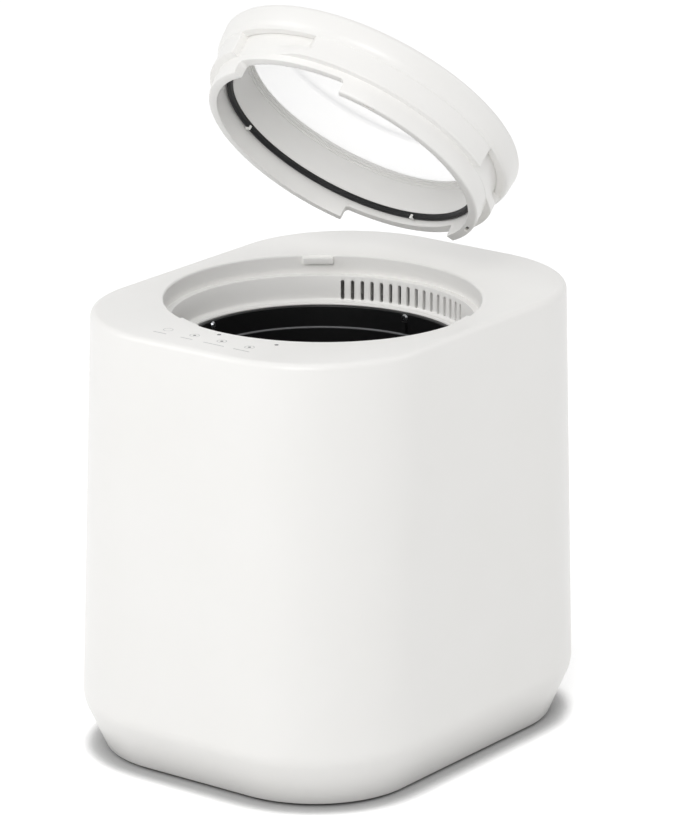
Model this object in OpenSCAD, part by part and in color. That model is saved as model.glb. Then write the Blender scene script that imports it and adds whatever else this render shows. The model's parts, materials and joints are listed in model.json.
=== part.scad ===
/* [Housing] */
// Height of the housing's top face above the table
body_h = 305; // [295:1:320]
// Height of the housing's widest line above the table
waist_h = 36; // [30:1:42]
// Gap that the feet leave under the housing
foot_gap = 2; // [1.5:0.5:4]
// Half width at the top edge
top_half_w = 124; // [122:0.5:126]
// Half depth at the top edge
top_half_d = 158.4; // [156:0.2:162]
// Corner radius at the top edge
top_corner_r = 88.4; // [80:0.2:92]
// Half width at the waist
waist_half_w = 127.3; // [126:0.1:130]
// Half depth at the waist
waist_half_d = 161.8; // [160:0.2:166]
// Corner radius at the waist
waist_corner_r = 81.7; // [76:0.1:86]
// Half width at the base
base_half_w = 115.1; // [113:0.1:118]
// Half depth at the base
base_half_d = 146.1; // [143:0.1:149]
// Corner radius at the base
base_corner_r = 71.7; // [68:0.1:76]
// Wall thickness of the housing
wall_t = 2.6; // [2.2:0.1:3]
// Thickness of the housing's top
top_t = 3; // [2.6:0.1:4]
// Radius of the rounded top edge
edge_r = 4.5; // [3:0.5:6]

/* [Well] */
// Distance from the housing's centre to the well's axis, negative towards the front
well_y = -8.7; // [-12:0.1:-6]
// Radius of the well's rim in the housing's top
rim_r = 106; // [105:0.5:107]
// Depth of the ledge that the lid sits on
ledge_depth = 13.4; // [12.5:0.1:15]
// Radius of the throat under the ledge
throat_r = 101.3; // [101:0.1:102]
// Depth of the flange round the bucket's mouth
flange_depth = 31.7; // [31:0.1:34]
// Radius of the hole in that flange
flange_r = 96.8; // [96:0.1:97.5]
// Wall thickness of the throat collar
collar_t = 2.5; // [2:0.1:3]
// Number of vent slots at the back of the throat
slot_count = 16; // [10:1:16]
// Angle between two vent slots
slot_pitch = 3.9; // [3.4:0.1:4]
// Width of a vent slot
slot_w = 2.6; // [2:0.1:3]
// Depth of the vent slots' upper ends
slot_top = 17.5; // [17:0.1:19]
// Depth of the vent slots' lower ends
slot_bottom = 29.2; // [27:0.1:29.4]

/* [Bucket] */
// Radial gap between the bucket and the flange round it
bucket_gap = 0.6; // [0.4:0.1:1]
// Depth of the bucket inside, from its rim to its floor
bucket_depth = 140; // [135:1:142]
// Wall thickness of the bucket
bucket_t = 1.6; // [1.4:0.1:2]
// Thickness of the bucket's floor
bucket_floor_t = 2.5; // [2:0.1:3]
// Height of the bucket's rim bead
bead_h = 4; // [3:0.5:6]
// Depth of the step in the bucket's wall, from the housing's top
step_depth = 47.7; // [46:0.1:52]
// Radial size of that step
step_in = 1.8; // [1.2:0.1:2.4]
// Radius of the bucket's bottom corner
bucket_corner_r = 14; // [10:1:18]
// Height of the foot ring under the bucket
bucket_foot_h = 12; // [11:0.5:13]

/* [Stirring rotor] */
// Radius reached by the long blades
blade_reach = 82; // [70:1:84]
// Radius reached by the short blades
short_reach = 66; // [50:1:80]
// Radius of the curve that a blade follows
blade_curve = 60; // [50:1:80]
// Height of the long blades
blade_h = 15; // [10:1:18]
// Clearance of a turning shaft in its bush
running_gap = 0.05; // [0.02:0.01:0.1]
// Radius of both drive shafts
shaft_r = 5; // [4.5:0.1:5.5]
// Across-corner radius of the drive hexagon
hex_r = 8.5; // [8:0.1:9]
// Clearance round the drive hexagon
hex_gap = 0.5; // [0.4:0.1:0.8]

/* [Gear train] */
// Tooth module of the output pair
output_module = 1.5; // [1.5]
// Teeth of the output gear
output_teeth = 56; // [56]
// Teeth of the small gear that drives it
cluster_small_teeth = 14; // [14]
// Tooth module of the motor pair
motor_module = 1; // [1]
// Teeth of the large cluster gear
cluster_large_teeth = 42; // [42]
// Teeth of the motor pinion
pinion_teeth = 14; // [14]
// Backlash at the pitch circle
backlash = 0.25; // [0.2:0.05:0.35]
// Direction from the output shaft to the cluster shaft
cluster_angle = 200; // [195:1:205]
// Direction from the cluster shaft to the motor shaft
motor_angle = 310; // [300:1:315]
// Wall thickness of the gearbox case
case_t = 2.5; // [2:0.1:3]
// Radius of the motor
motor_r = 25; // [22:0.5:26]

/* [Rear filter drawer] */
// Half width of the drawer's front
drawer_half_w = 55; // [50:0.5:58]
// Height of the drawer front's lower edge
drawer_z = 76; // [74:1:80]
// Height of the drawer front
drawer_h = 78; // [74:1:84]
// Gap round the drawer's front
drawer_gap = 0.6; // [0.5:0.1:1]
// Wall thickness of the drawer and its sleeve
sleeve_t = 2; // [1.6:0.1:2.4]
// Number of air slots in the drawer's front
grille_count = 13; // [9:1:13]
// Width of an air slot in the drawer's front
grille_w = 3; // [2.5:0.1:3.5]

/* [Lid] */
// Tilt of the lid where it rests open
lid_tilt = 46.1; // [30:0.1:60]
// Position of the axis that the lid swings about, from front to back
swing_y = 139.7; // [138:0.1:142]
// Height of that axis above the housing's top
swing_up = 7.7; // [7:0.1:9]
// Gap between the closed lid and the ledge
seat_gap = 0.3; // [0.3:0.1:0.6]
// Radius of the lid's cap
cap_r = 109; // [108.5:0.1:111]
// Height of the cap's lower edge above the ledge
cap_z = 15.4; // [15.2:0.1:16.5]
// Height of the lid's top above the ledge
lid_top_z = 34; // [33:0.1:36]
// Radius of the raised locking bands
band_r = 104.5; // [104:0.1:104.6]
// Outer radius of the lid's skirt
skirt_r = 99; // [98.5:0.1:99.1]
// Inner radius of the lid's skirt
skirt_bore_r = 92.3; // [92.2:0.1:93]
// Height of the skirt below the bands
skirt_h = 13.7; // [12:0.1:15]
// Height of the skirt that its cut-outs leave
skirt_short_h = 4.5; // [4:0.1:6]
// Radius of the clear opening in the lid's frame
window_r = 86.5; // [84:0.1:87]
// Radius of the round on the cap's upper edge
cap_round = 4; // [3:0.5:5]
// Angle that the lid ring turns to lock
lock_turn = 22; // [18:1:22]
// Angle across a locking lug
lug_angle = 11.5; // [10:0.5:12]

/* [Hidden] */
$fn = 96;

white = "#f3f2f0";
shade_white = "#dedddb";
dark = "#1c1c1e";
steel = "#b9bcc0";
black_rubber = "#202022";

eps = 0.01;
// Gap left between curved faces that touch
touch_gap = 0.05;
corner_steps = 16;
edge_steps = 5;
waist_soft = 5;

ledge_z = body_h - ledge_depth;
ledge_t = 2.6;
flange_z = body_h - flange_depth;
flange_t = 2.5;
collar_ear_r = rim_r + collar_t + 3.9;
collar_screw_angles = [20, 160, 200, 240, 300, 340];
lug_r = skirt_r + 3.2;
lug_top = body_h - 1.5;
lug_h = 4.5;
lug_start = -117;

bucket_rim_z = flange_z - 0.8;
bucket_rim_r = flange_r - bucket_gap;
bucket_wall_r = bucket_rim_r - 1.6;
bucket_in_r = bucket_wall_r - bucket_t;
bucket_low_in_r = bucket_in_r - step_in;
bucket_low_r = bucket_low_in_r + bucket_t + 0.4;
step_z = body_h - step_depth;
bucket_floor_z = bucket_rim_z - bucket_depth;
bucket_under_z = bucket_floor_z - bucket_floor_t;
bucket_boss_h = 18;

liner_r = flange_r + 0.6;
liner_t = 1.5;
liner_floor_t = 2;
liner_z = bucket_under_z - bucket_foot_h - 0.2;
liner_top_z = flange_z - flange_t;
liner_hole_r = 20;
heater_t = 10;
heater_z = liner_z - liner_floor_t - heater_t;
element_r = 3.4;
element_ring_r = 60;

hex_z = liner_z + 1.2;
hex_h = 8.6;
coupling_r = hex_r + hex_gap + 3.6;

gearbox_z = 62;
gearbox_floor_t = 3;
gearbox_h = 28;
cluster_z = gearbox_z + gearbox_floor_t + 1.5;
large_face = 6;
small_face = 12;
output_z = cluster_z + large_face + 1.5;
output_face = 10;
output_pitch_r = output_module * output_teeth / 2;
cluster_distance = output_module * (output_teeth + cluster_small_teeth) / 2;
motor_distance = motor_module * (cluster_large_teeth + pinion_teeth) / 2;
cluster_at = [
    cluster_distance * cos(cluster_angle),
    well_y + cluster_distance * sin(cluster_angle)
];
motor_at = [
    cluster_at[0] + motor_distance * cos(motor_angle),
    cluster_at[1] + motor_distance * sin(motor_angle)
];
case_room = 3;
output_case_r = output_pitch_r + output_module + case_room + case_t;
cluster_case_r = motor_module * (cluster_large_teeth / 2 + 1) + case_room + case_t;
motor_case_r = motor_module * (pinion_teeth / 2 + 1) + case_room + case_t;
ear_angles = [0, 60, 130, 290];
ear_r = 6.5;
ear_posts = concat(
    [for (a = ear_angles) [
        (output_case_r + 5) * cos(a), well_y + (output_case_r + 5) * sin(a)
    ]],
    [[cluster_at[0] + (cluster_case_r + 5) * cos(190), cluster_at[1] + (cluster_case_r + 5) * sin(190)]]
);
bush_wall = 3;
axle_r = 3;
motor_shaft_r = 2.5;

cover_z = foot_gap;
cover_t = 3;
cover_gap = 0.5;
cover_screws = concat(
    [for (sx = [-1, 1], sy = [-1, 1]) [sx * 98, sy * 80]],
    [for (sy = [-1, 1]) [0, sy * 132]]
);
boss_rib = 18.5;
foot_at = [for (sx = [-1, 1], sy = [-1, 1]) [sx * 74, sy * 98]];
screw_r = 1.6;
screw_head_r = 3;
screw_head_h = 2.2;
screw_socket_r = 1.4;
screw_socket_h = 1.2;
screw_room = 0.2;
cover_sink = 0.8;

duct_half_w = 27;
duct_y = 99;
duct_depth = 53;
duct_t = 1.8;
fan_z = drawer_z + drawer_h + 18;
fan_h = 15;
fan_r = 23.2;
fan_y = duct_y + duct_depth / 2;
fan_blades = 7;
fan_hub_r = 9.5;

sleeve_half_w = drawer_half_w - 2;
sleeve_y = 98;
sleeve_back = 156;
sleeve_z = drawer_z + 4;
sleeve_h = drawer_h - 6;
tray_gap = 0.5;
tray_half_w = sleeve_half_w - sleeve_t - tray_gap;
tray_y = sleeve_y + sleeve_t + 1;
tray_z = sleeve_z + sleeve_t + tray_gap;
tray_h = 46;
notch_half_w = 20;
notch_h = 13;

inlet_at = [30, 56];
inlet_w = 27;
inlet_h = 19.6;
inlet_depth = 24;
inlet_sunk = 1.1;

board_z = 16;
board_at = [66, -60];
board_size = [40, 120, 1.6];
touch_y = -138;
touch_half_w = 44;

lid_z = ledge_z + seat_gap;
groove_z = 6.7;
groove_end = -82;
band_start = -97;
band_end = 1.4;
ring_seam = 30;
recess_r = skirt_r + 0.2;
recess_over = 0.4;
groove_over = 0.6;
cutout_r = 3;
lid_slots = [-51, 42.5];
cutouts = [[-115, -64], [60, 118]];
frame_gap = 0.7;
frame_r = skirt_bore_r - frame_gap;
frame_flange_z = 22.4;
frame_flange_t = 2.2;
frame_flange_r = 99.4;
frame_bottom_z = 4.6;
pane_z = 29.3;
pane_t = 3;
pane_edge = 3;
cap_t = 2.4;
spigot_r = 100.6;
spigot_top_z = frame_flange_z - 0.4;
gasket_z = -0.4;

// Points of a rounded rectangle, as [x, y]
function outline(half_w, half_d, r) = [
    for (q = [0 : 3], i = [0 : corner_steps])
        let (a = 90 * (q + i / corner_steps),
             sx = q == 0 || q == 3 ? 1 : -1,
             sy = q < 2 ? 1 : -1)
        [sx * (half_w - r) + r * cos(a), sy * (half_d - r) + r * sin(a)]
];

// Skins a stack of slices, each [half width, half depth, corner radius, height]
module loft(slices) {
    n = 4 * (corner_steps + 1);
    points = [for (s = slices, p = outline(s[0], s[1], s[2])) [p[0], p[1], s[3]]];
    last = len(slices) - 1;
    sides = [for (k = [0 : last - 1], i = [0 : n - 1])
        let (j = (i + 1) % n)
        each [
            [k * n + i, (k + 1) * n + i, (k + 1) * n + j],
            [k * n + i, (k + 1) * n + j, k * n + j]
        ]
    ];
    base = [for (i = [0 : n - 1]) i];
    top = [for (i = [n - 1 : -1 : 0]) last * n + i];
    polyhedron(points = points, faces = concat([base], sides, [top]));
}

function mix(a, b, t) = a + (b - a) * t;
// Size of the housing at a height, before its edges are rounded
function slice_at(z) =
    z < waist_h
    ? let (t = (z - foot_gap) / (waist_h - foot_gap)) [
        mix(base_half_w, waist_half_w, t), mix(base_half_d, waist_half_d, t),
        mix(base_corner_r, waist_corner_r, t)
    ]
    : let (t = (z - waist_h) / (body_h - waist_h)) [
        mix(waist_half_w, top_half_w, t), mix(waist_half_d, top_half_d, t),
        mix(waist_corner_r, top_corner_r, t)
    ];
function inset_slice(z, d) = let (s = slice_at(z)) [s[0] - d, s[1] - d, s[2] - d, z];
// A slice on the soft curve that crosses the waist, t from 0 below it to 1 above it
function waist_slice(t, d) =
    let (a = slice_at(waist_h - waist_soft), b = slice_at(waist_h), c = slice_at(waist_h + waist_soft))
    [for (i = [0 : 2]) (1 - t) * (1 - t) * a[i] + 2 * t * (1 - t) * b[i] + t * t * c[i] - d];
function body_slices(d, bottom, top, round_r) = concat(
    [inset_slice(bottom, d)],
    [for (t = [0 : 0.25 : 1])
        let (s = waist_slice(t, d)) [s[0], s[1], s[2], waist_h + (2 * t - 1) * waist_soft]],
    [for (i = [0 : edge_steps])
        let (a = 90 * i / edge_steps)
        inset_slice(top - round_r + round_r * sin(a), d + round_r * (1 - cos(a)))]
);
module housing_outside() {
    loft(body_slices(0, foot_gap, body_h, edge_r));
}
module housing_inside() {
    loft(body_slices(wall_t, foot_gap - 1, body_h - top_t, edge_r - 1.5));
}
// The part of the housing's wall inside a box at its back
module back_patch(half_w, z, h) {
    difference() {
        intersection() {
            housing_outside();
            translate([-half_w, 120, z]) cube([2 * half_w, 60, h]);
        }
        housing_inside();
    }
}

module at_well() {
    translate([0, well_y, 0]) children();
}
module ring(r_in, r_out, z, h) {
    rotate_extrude() translate([r_in, z]) square([r_out - r_in, h]);
}
module arc_block(r_in, r_out, z, h, start, sweep) {
    rotate([0, 0, start]) rotate_extrude(angle = sweep) translate([r_in, z]) square([r_out - r_in, h]);
}
// A screw pointing up, with the seat of its head at z = 0
module screw(length) {
    difference() {
        rotate_extrude($fn = 32) polygon([
            [0, -screw_head_h], [screw_head_r, -screw_head_h], [screw_head_r, 0],
            [screw_r, 0], [screw_r, length], [0, length]
        ]);
        translate([0, 0, -screw_head_h - 1]) cylinder(r = screw_socket_r, h = screw_socket_h + 1, $fn = 6);
    }
}
module screw_hole(z, h) {
    translate([0, 0, z]) cylinder(r = screw_r + screw_room, h = h, $fn = 24);
}
module thread_hole(z, h) {
    translate([0, 0, z]) cylinder(r = screw_r, h = h, $fn = 24);
}
function arc_points(cx, cy, r, from, to, steps) = [
    for (i = [0 : steps]) let (a = mix(from, to, i / steps)) [cx + r * cos(a), cy + r * sin(a)]
];

module housing_shell() {
    color(white) union() {
        difference() {
            union() {
                difference() {
                    housing_outside();
                    housing_inside();
                }
                at_well() ring(rim_r - 1, rim_r + collar_t, ledge_z, ledge_depth - 1);
                collar_bosses();
                cover_bosses();
            }
            rim_cut();
            rear_cuts();
        }
        locking_lugs();
    }
}
module rim_cut() {
    at_well() rotate_extrude() polygon(concat(
        [[0, ledge_z - 1], [rim_r, ledge_z - 1]],
        arc_points(rim_r + 1.5, body_h - 1.5, 1.5, 180, 90, 5),
        [[rim_r + 1.5, body_h + 1], [0, body_h + 1]]
    ));
}
module rear_cuts() {
    translate([-drawer_half_w, 120, drawer_z]) cube([2 * drawer_half_w, 60, drawer_h]);
    translate([inlet_at[0] - inlet_w / 2 - 0.6, 120, inlet_at[1] - inlet_h / 2 - 0.6])
        cube([inlet_w + 1.2, 60, inlet_h + 1.2]);
}
module collar_bosses() {
    at_well() for (a = collar_screw_angles) rotate([0, 0, a])
        translate([collar_ear_r, 0, ledge_z]) difference() {
            cylinder(r = 4.2, h = body_h - ledge_z - 1, $fn = 32);
            thread_hole(-1, 9);
        }
}
module cover_bosses() {
    for (p = cover_screws) translate([p[0], p[1], cover_z + cover_t]) {
        difference() {
            union() {
                cylinder(r = 5, h = 30, $fn = 32);
                rotate([0, 0, p[0] == 0 ? sign(p[1]) * 90 : 90 - 90 * sign(p[0])])
                    translate([0, -1, 6]) cube([boss_rib, 2, 22]);
            }
            thread_hole(-1, 13);
        }
    }
}
module locking_lugs() {
    at_well() for (k = [0 : 2])
        arc_block(lug_r, rim_r + 0.8, lug_top - lug_h, lug_h, lug_start + 120 * k, lug_angle);
}

module bottom_cover() {
    s = inset_slice(cover_z, wall_t + cover_gap);
    color(shade_white) difference() {
        union() {
            translate([0, 0, cover_z]) linear_extrude(cover_t) polygon(outline(s[0], s[1], s[2]));
            for (p = ear_posts) translate([p[0], p[1], cover_z]) post(gearbox_z - cover_z);
            for (sx = [-1, 1]) translate([sx * (sleeve_half_w - 8), 128, cover_z])
                post(sleeve_z - cover_z);
            for (p = board_holes()) translate([p[0], p[1], cover_z])
                cylinder(r = 4, h = board_z - cover_z, $fn = 32);
        }
        for (p = cover_screws) translate([p[0], p[1], cover_z]) {
            screw_hole(-1, cover_t + 2);
            translate([0, 0, -1]) cylinder(r = screw_head_r + screw_room, h = cover_sink + 1, $fn = 32);
        }
        for (p = foot_at) translate([p[0], p[1], cover_z - 1]) cylinder(r = 5.1, h = cover_t + 2, $fn = 32);
        for (p = ear_posts) translate([p[0], p[1], gearbox_z]) thread_hole(-9, 10);
        for (p = board_holes()) translate([p[0], p[1], board_z]) thread_hole(-8, 9);
        cover_vents();
    }
}
module post(h) {
    cylinder(r = 5.5, h = h, $fn = 32);
    for (a = [0, 90]) rotate([0, 0, a]) translate([-9, -1, 0]) cube([18, 2, h * 0.7]);
}
module cover_vents() {
    for (i = [-5 : 5]) translate([i * 7 - 1.5, 66, cover_z - 1]) cube([3, 34, cover_t + 2]);
}
module rubber_feet() {
    color(black_rubber) for (p = foot_at) translate([p[0], p[1], 0]) {
        cylinder(r1 = 9.5, r2 = 10.5, h = cover_z);
        cylinder(r = 5, h = cover_z + cover_t, $fn = 32);
        translate([0, 0, cover_z + cover_t]) cylinder(r = 6, h = 1.2, $fn = 32);
    }
}
module bottom_cover_screws() {
    color(steel) for (p = cover_screws) translate([p[0], p[1], cover_z + cover_sink]) screw(12);
}

module throat_collar() {
    z = ledge_z - ledge_t;
    color(white) at_well() difference() {
        union() {
            rotate_extrude() polygon(concat(
                [[throat_r, ledge_z - 0.8], [throat_r + 0.8, ledge_z], [rim_r + collar_t, ledge_z],
                 [rim_r + collar_t, z], [throat_r + collar_t, z],
                 [throat_r + collar_t, flange_z - flange_t], [flange_r, flange_z - flange_t]],
                arc_points(flange_r + 1, flange_z - 1, 1, 180, 90, 4),
                arc_points(throat_r - 2.5, flange_z + 2.5, 2.5, -90, 0, 4)
            ));
            for (a = collar_screw_angles) rotate([0, 0, a]) translate([0, 0, z]) {
                translate([collar_ear_r, 0, 0]) cylinder(r = 4.6, h = ledge_t, $fn = 32);
                translate([rim_r - 2, -4.6, 0]) cube([collar_ear_r - rim_r + 2, 9.2, ledge_t]);
            }
        }
        for (a = collar_screw_angles) rotate([0, 0, a]) translate([collar_ear_r, 0, z])
            screw_hole(-1, ledge_t + 2);
        for (i = [0 : slot_count - 1]) rotate([0, 0, 90 + (i - (slot_count - 1) / 2) * slot_pitch])
            translate([throat_r - 1, -slot_w / 2, body_h - slot_bottom])
                cube([collar_t + 2, slot_w, slot_bottom - slot_top]);
    }
}
module collar_screws() {
    color(steel) at_well() for (a = collar_screw_angles) rotate([0, 0, a])
        translate([collar_ear_r, 0, ledge_z - ledge_t]) screw(10);
}

module well_liner() {
    r = liner_r;
    c = 10;
    floor_z = liner_z - liner_floor_t;
    color(steel) at_well() rotate_extrude() polygon(concat(
        [[liner_hole_r, floor_z]],
        arc_points(r + liner_t - c, floor_z + c, c, -90, 0, 6),
        [[r + liner_t, liner_top_z - 2], [throat_r + collar_t + 2, liner_top_z - 2],
         [throat_r + collar_t + 2, liner_top_z], [r, liner_top_z]],
        arc_points(r + liner_t - c, floor_z + c, c - liner_t, 0, -90, 6),
        [[liner_hole_r, liner_z]]
    ));
}
module insulation_sleeve() {
    color("#8f8f86") at_well() ring(liner_r + liner_t + 0.3, liner_r + liner_t + 4, liner_z + 8, 140);
}
module heater_plate() {
    color("#a9abad") at_well() difference() {
        ring(liner_hole_r + 4, 80, heater_z, heater_t);
        rotate_extrude() translate([element_ring_r, heater_z + 1]) circle(r = element_r + 0.15);
    }
}
module heating_element() {
    color("#7a6f66") at_well() {
        rotate([0, 0, 20]) rotate_extrude(angle = 320)
            translate([element_ring_r, heater_z + 1]) circle(r = element_r);
        for (a = [20, 340]) rotate([0, 0, a]) translate([element_ring_r, 0, heater_z - 8])
            cylinder(r = element_r, h = 9, $fn = 32);
    }
}
module temperature_sensor() {
    color(steel) at_well() rotate([0, 0, 180]) translate([42, 0, heater_z - 7]) {
        cylinder(r = 7, h = 7);
        translate([-2, 5, 1]) cube([4, 7, 2]);
    }
}
module shaft_seal() {
    color(black_rubber) at_well() rotate_extrude() polygon([
        [shaft_r + 0.1, liner_z - 1.5], [shaft_r + 2, liner_z - 4], [liner_hole_r - 0.05, liner_z - 4],
        [liner_hole_r - 0.05, liner_z + 0.4], [shaft_r + 1.5, liner_z + 0.4], [shaft_r + 0.1, liner_z - 0.5]
    ]);
}

module case_outline(d, z, h) {
    hull() {
        translate([0, well_y, z]) cylinder(r = output_case_r + d, h = h, $fn = 48);
        translate([cluster_at[0], cluster_at[1], z]) cylinder(r = cluster_case_r + d, h = h, $fn = 32);
        translate([motor_at[0], motor_at[1], z]) cylinder(r = motor_case_r + d, h = h, $fn = 32);
    }
}
module gearbox_case() {
    inside_z = gearbox_z + gearbox_floor_t;
    color("#4a4c50") difference() {
        union() {
            case_outline(0, gearbox_z, gearbox_h);
            for (p = ear_posts) translate([p[0], p[1], gearbox_z])
                cylinder(r = ear_r, h = gearbox_floor_t + 1);
        }
        difference() {
            case_outline(-case_t, inside_z, gearbox_h);
            at_well() translate([0, 0, inside_z - 1])
                cylinder(r = shaft_r + bush_wall + 3, h = output_z - inside_z - 2 + 1);
        }
        at_well() translate([0, 0, gearbox_z - 1]) cylinder(r = shaft_r + bush_wall, h = 20);
        translate([cluster_at[0], cluster_at[1], gearbox_z - 1]) cylinder(r = axle_r, h = 20);
        translate([motor_at[0], motor_at[1], gearbox_z - 1]) cylinder(r = 5, h = 20);
        for (p = ear_posts) translate([p[0], p[1], gearbox_z]) screw_hole(-1, 20);
    }
}
module gearbox_cover() {
    z = gearbox_z + gearbox_h;
    color("#4a4c50") difference() {
        union() {
            case_outline(0, z, 3);
            at_well() translate([0, 0, z]) cylinder(r = shaft_r + bush_wall + 3, h = 8);
        }
        at_well() translate([0, 0, z - 1]) cylinder(r = shaft_r + bush_wall, h = 12);
        translate([cluster_at[0], cluster_at[1], z - 1]) cylinder(r = axle_r, h = 12);
    }
}
module gearbox_screws() {
    color(steel) for (p = ear_posts) translate([p[0], p[1], gearbox_z + gearbox_floor_t + 1])
        rotate([180, 0, 0]) screw(12);
}
module output_bushes() {
    color("#b08d4a") at_well() {
        ring(shaft_r + running_gap, shaft_r + bush_wall, gearbox_z, output_z - gearbox_z - 0.5);
        ring(shaft_r + running_gap, shaft_r + bush_wall, output_z + output_face + 0.5,
            gearbox_z + gearbox_h + 8 - output_z - output_face - 0.5);
    }
}
module cluster_axle() {
    color(steel) translate([cluster_at[0], cluster_at[1], gearbox_z])
        cylinder(r = axle_r, h = gearbox_h + 3);
}
module output_shaft() {
    color(steel) at_well() {
        translate([0, 0, gearbox_z]) cylinder(r = shaft_r, h = hex_z - gearbox_z);
        translate([0, 0, hex_z]) cylinder(r = hex_r, h = hex_h - 1, $fn = 6);
        translate([0, 0, hex_z + hex_h - 1]) cylinder(r = shaft_r, h = 1);
    }
}

// Angle between a radius and the start of the involute, where the pressure angle is a
function involute(a) = tan(a) * 180 / PI - a;
function flank_angle(radius, m, teeth) =
    let (pitch_r = m * teeth / 2, base_r = pitch_r * cos(20),
         half = 90 / teeth - backlash / 4 / pitch_r * 180 / PI)
    half + involute(20) - (radius > base_r ? involute(acos(base_r / radius)) : 0);
// One gear's outline, with a tooth pointing along +X
module gear_outline(m, teeth) {
    pitch_r = m * teeth / 2;
    root_r = pitch_r - 1.25 * m;
    tip_r = pitch_r + 0.92 * m;
    start_r = max(root_r + 0.2 * m, pitch_r * cos(20));
    radii = concat([root_r], [for (i = [0 : 4]) mix(start_r, tip_r, i / 4)]);
    polygon([for (k = [0 : teeth - 1], side = [-1, 1], i = [0 : len(radii) - 1])
        let (n = side < 0 ? i : len(radii) - 1 - i,
             a = 360 * k / teeth + side * flank_angle(radii[n], m, teeth))
        radii[n] * [cos(a), sin(a)]]);
}
module gear(m, teeth, face, bore, turn) {
    rotate([0, 0, turn]) difference() {
        linear_extrude(face) gear_outline(m, teeth);
        translate([0, 0, -1]) cylinder(r = bore, h = face + 2);
    }
}
module output_gear() {
    color("#e8e2d0") translate([0, well_y, output_z]) difference() {
        gear(output_module, output_teeth, output_face, shaft_r, cluster_angle);
        difference() {
            translate([0, 0, output_face - 3]) cylinder(r = output_pitch_r - 6, h = 4);
            cylinder(r = shaft_r + 6, h = output_face);
        }
        for (a = [0 : 60 : 300]) rotate([0, 0, a]) translate([output_pitch_r * 0.56, 0, -1])
            cylinder(r = 6, h = output_face);
    }
}
module cluster_gear() {
    color("#e8e2d0") translate([cluster_at[0], cluster_at[1], cluster_z]) {
        gear(motor_module, cluster_large_teeth, large_face, axle_r + running_gap, motor_angle);
        translate([0, 0, large_face - 1])
            gear(output_module, cluster_small_teeth, small_face + 2.5, axle_r + running_gap,
                cluster_angle + 180 + 180 / cluster_small_teeth);
    }
}
module motor_pinion() {
    color("#c9a35a") translate([motor_at[0], motor_at[1], cluster_z - 1])
        gear(motor_module, pinion_teeth, large_face + 1, motor_shaft_r,
            motor_angle + 180 + 180 / pinion_teeth);
}
module motor_shaft() {
    color(steel) translate([motor_at[0], motor_at[1], gearbox_z - 11])
        cylinder(r = motor_shaft_r, h = cluster_z + large_face - gearbox_z + 11);
}
module drive_motor() {
    h = gearbox_z - cover_z - cover_t - 5;
    color("#8d9094") translate([motor_at[0], motor_at[1], gearbox_z - h]) difference() {
        union() {
            cylinder(r = motor_r, h = h - 6);
            cylinder(r = motor_r - 2, h = h);
            cylinder(r = 4.6, h = h + 1.5);
            translate([0, 0, -4]) cylinder(r = 6, h = 5);
        }
        translate([0, 0, h - 12]) cylinder(r = motor_shaft_r + running_gap, h = 20);
    }
}

// The duct's outside, or its inside where d is its wall thickness
module duct_form(d) {
    hood_r = rim_r + 16;
    at_well() arc_block(throat_r + collar_t + 0.4 - (d > 0 ? 1 : 0), hood_r - d,
        liner_top_z + 1.5 + d, ledge_z - ledge_t - liner_top_z - 2 - 2 * d, 56 + d, 68 - 2 * d);
    translate([-duct_half_w + d, duct_y + 7 + d, fan_z + fan_h - (d > 0 ? 1 : 0)])
        cube([2 * (duct_half_w - d), duct_depth - 7 - 2 * d,
              ledge_z - ledge_t - 0.5 - fan_z - fan_h - (d > 0 ? d - 1 : 0)]);
}
module exhaust_duct() {
    color(shade_white) difference() {
        union() {
            duct_form(0);
            translate([-duct_half_w, duct_y, fan_z + fan_h]) cube([2 * duct_half_w, duct_depth, 3]);
        }
        duct_form(duct_t);
        translate([0, fan_y, fan_z + fan_h - 1]) cylinder(r = fan_r - 3, h = 5);
    }
}
module fan_frame() {
    color(dark) translate([0, fan_y, fan_z]) difference() {
        union() {
            difference() {
                translate([-25, -25, 0]) cube([50, 50, fan_h]);
                translate([0, 0, -1]) cylinder(r = fan_r, h = fan_h + 2);
            }
            for (a = [45 : 90 : 315]) rotate([0, 0, a]) translate([0, -1, 0]) cube([fan_r + 1, 2, 1.6]);
            cylinder(r = fan_hub_r, h = 1.6);
            cylinder(r = 2, h = 8);
        }
        for (sx = [-1, 1], sy = [-1, 1]) translate([sx * 20.5, sy * 20.5, -1])
            cylinder(r = 1.8, h = fan_h + 2, $fn = 24);
    }
}
module fan_rotor() {
    color("#2b2b2e") translate([0, fan_y, fan_z + 2.4]) {
        difference() {
            cylinder(r = fan_hub_r, h = fan_h - 3.6);
            translate([0, 0, -1]) cylinder(r = 2 + running_gap, h = 8);
        }
        for (k = [0 : fan_blades - 1]) rotate([0, 0, 360 * k / fan_blades])
            translate([fan_hub_r - 1, 0, 5.5]) rotate([38, 0, 0]) translate([0, -6.5, -0.7])
                cube([fan_r - fan_hub_r - 0.2, 13, 1.4]);
    }
}
module filter_sleeve() {
    color(shade_white) difference() {
        union() {
            translate([-sleeve_half_w, sleeve_y, sleeve_z])
                cube([2 * sleeve_half_w, sleeve_back - sleeve_y, sleeve_h]);
            translate([-duct_half_w, duct_y, sleeve_z + sleeve_h])
                cube([2 * duct_half_w, duct_depth, fan_z - sleeve_z - sleeve_h]);
        }
        translate([-sleeve_half_w + sleeve_t, sleeve_y + sleeve_t, sleeve_z + sleeve_t])
            cube([2 * (sleeve_half_w - sleeve_t), 80, sleeve_h - 2 * sleeve_t]);
        translate([0, fan_y, sleeve_z + sleeve_h - sleeve_t - 1])
            cylinder(r = fan_r - 1, h = fan_z - sleeve_z - sleeve_h + sleeve_t + 2);
        translate([-notch_half_w - 2, duct_y + duct_depth + 0.5, sleeve_z + sleeve_h - sleeve_t - 1])
            cube([2 * notch_half_w + 4, 20, sleeve_t + 2]);
    }
}
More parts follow.
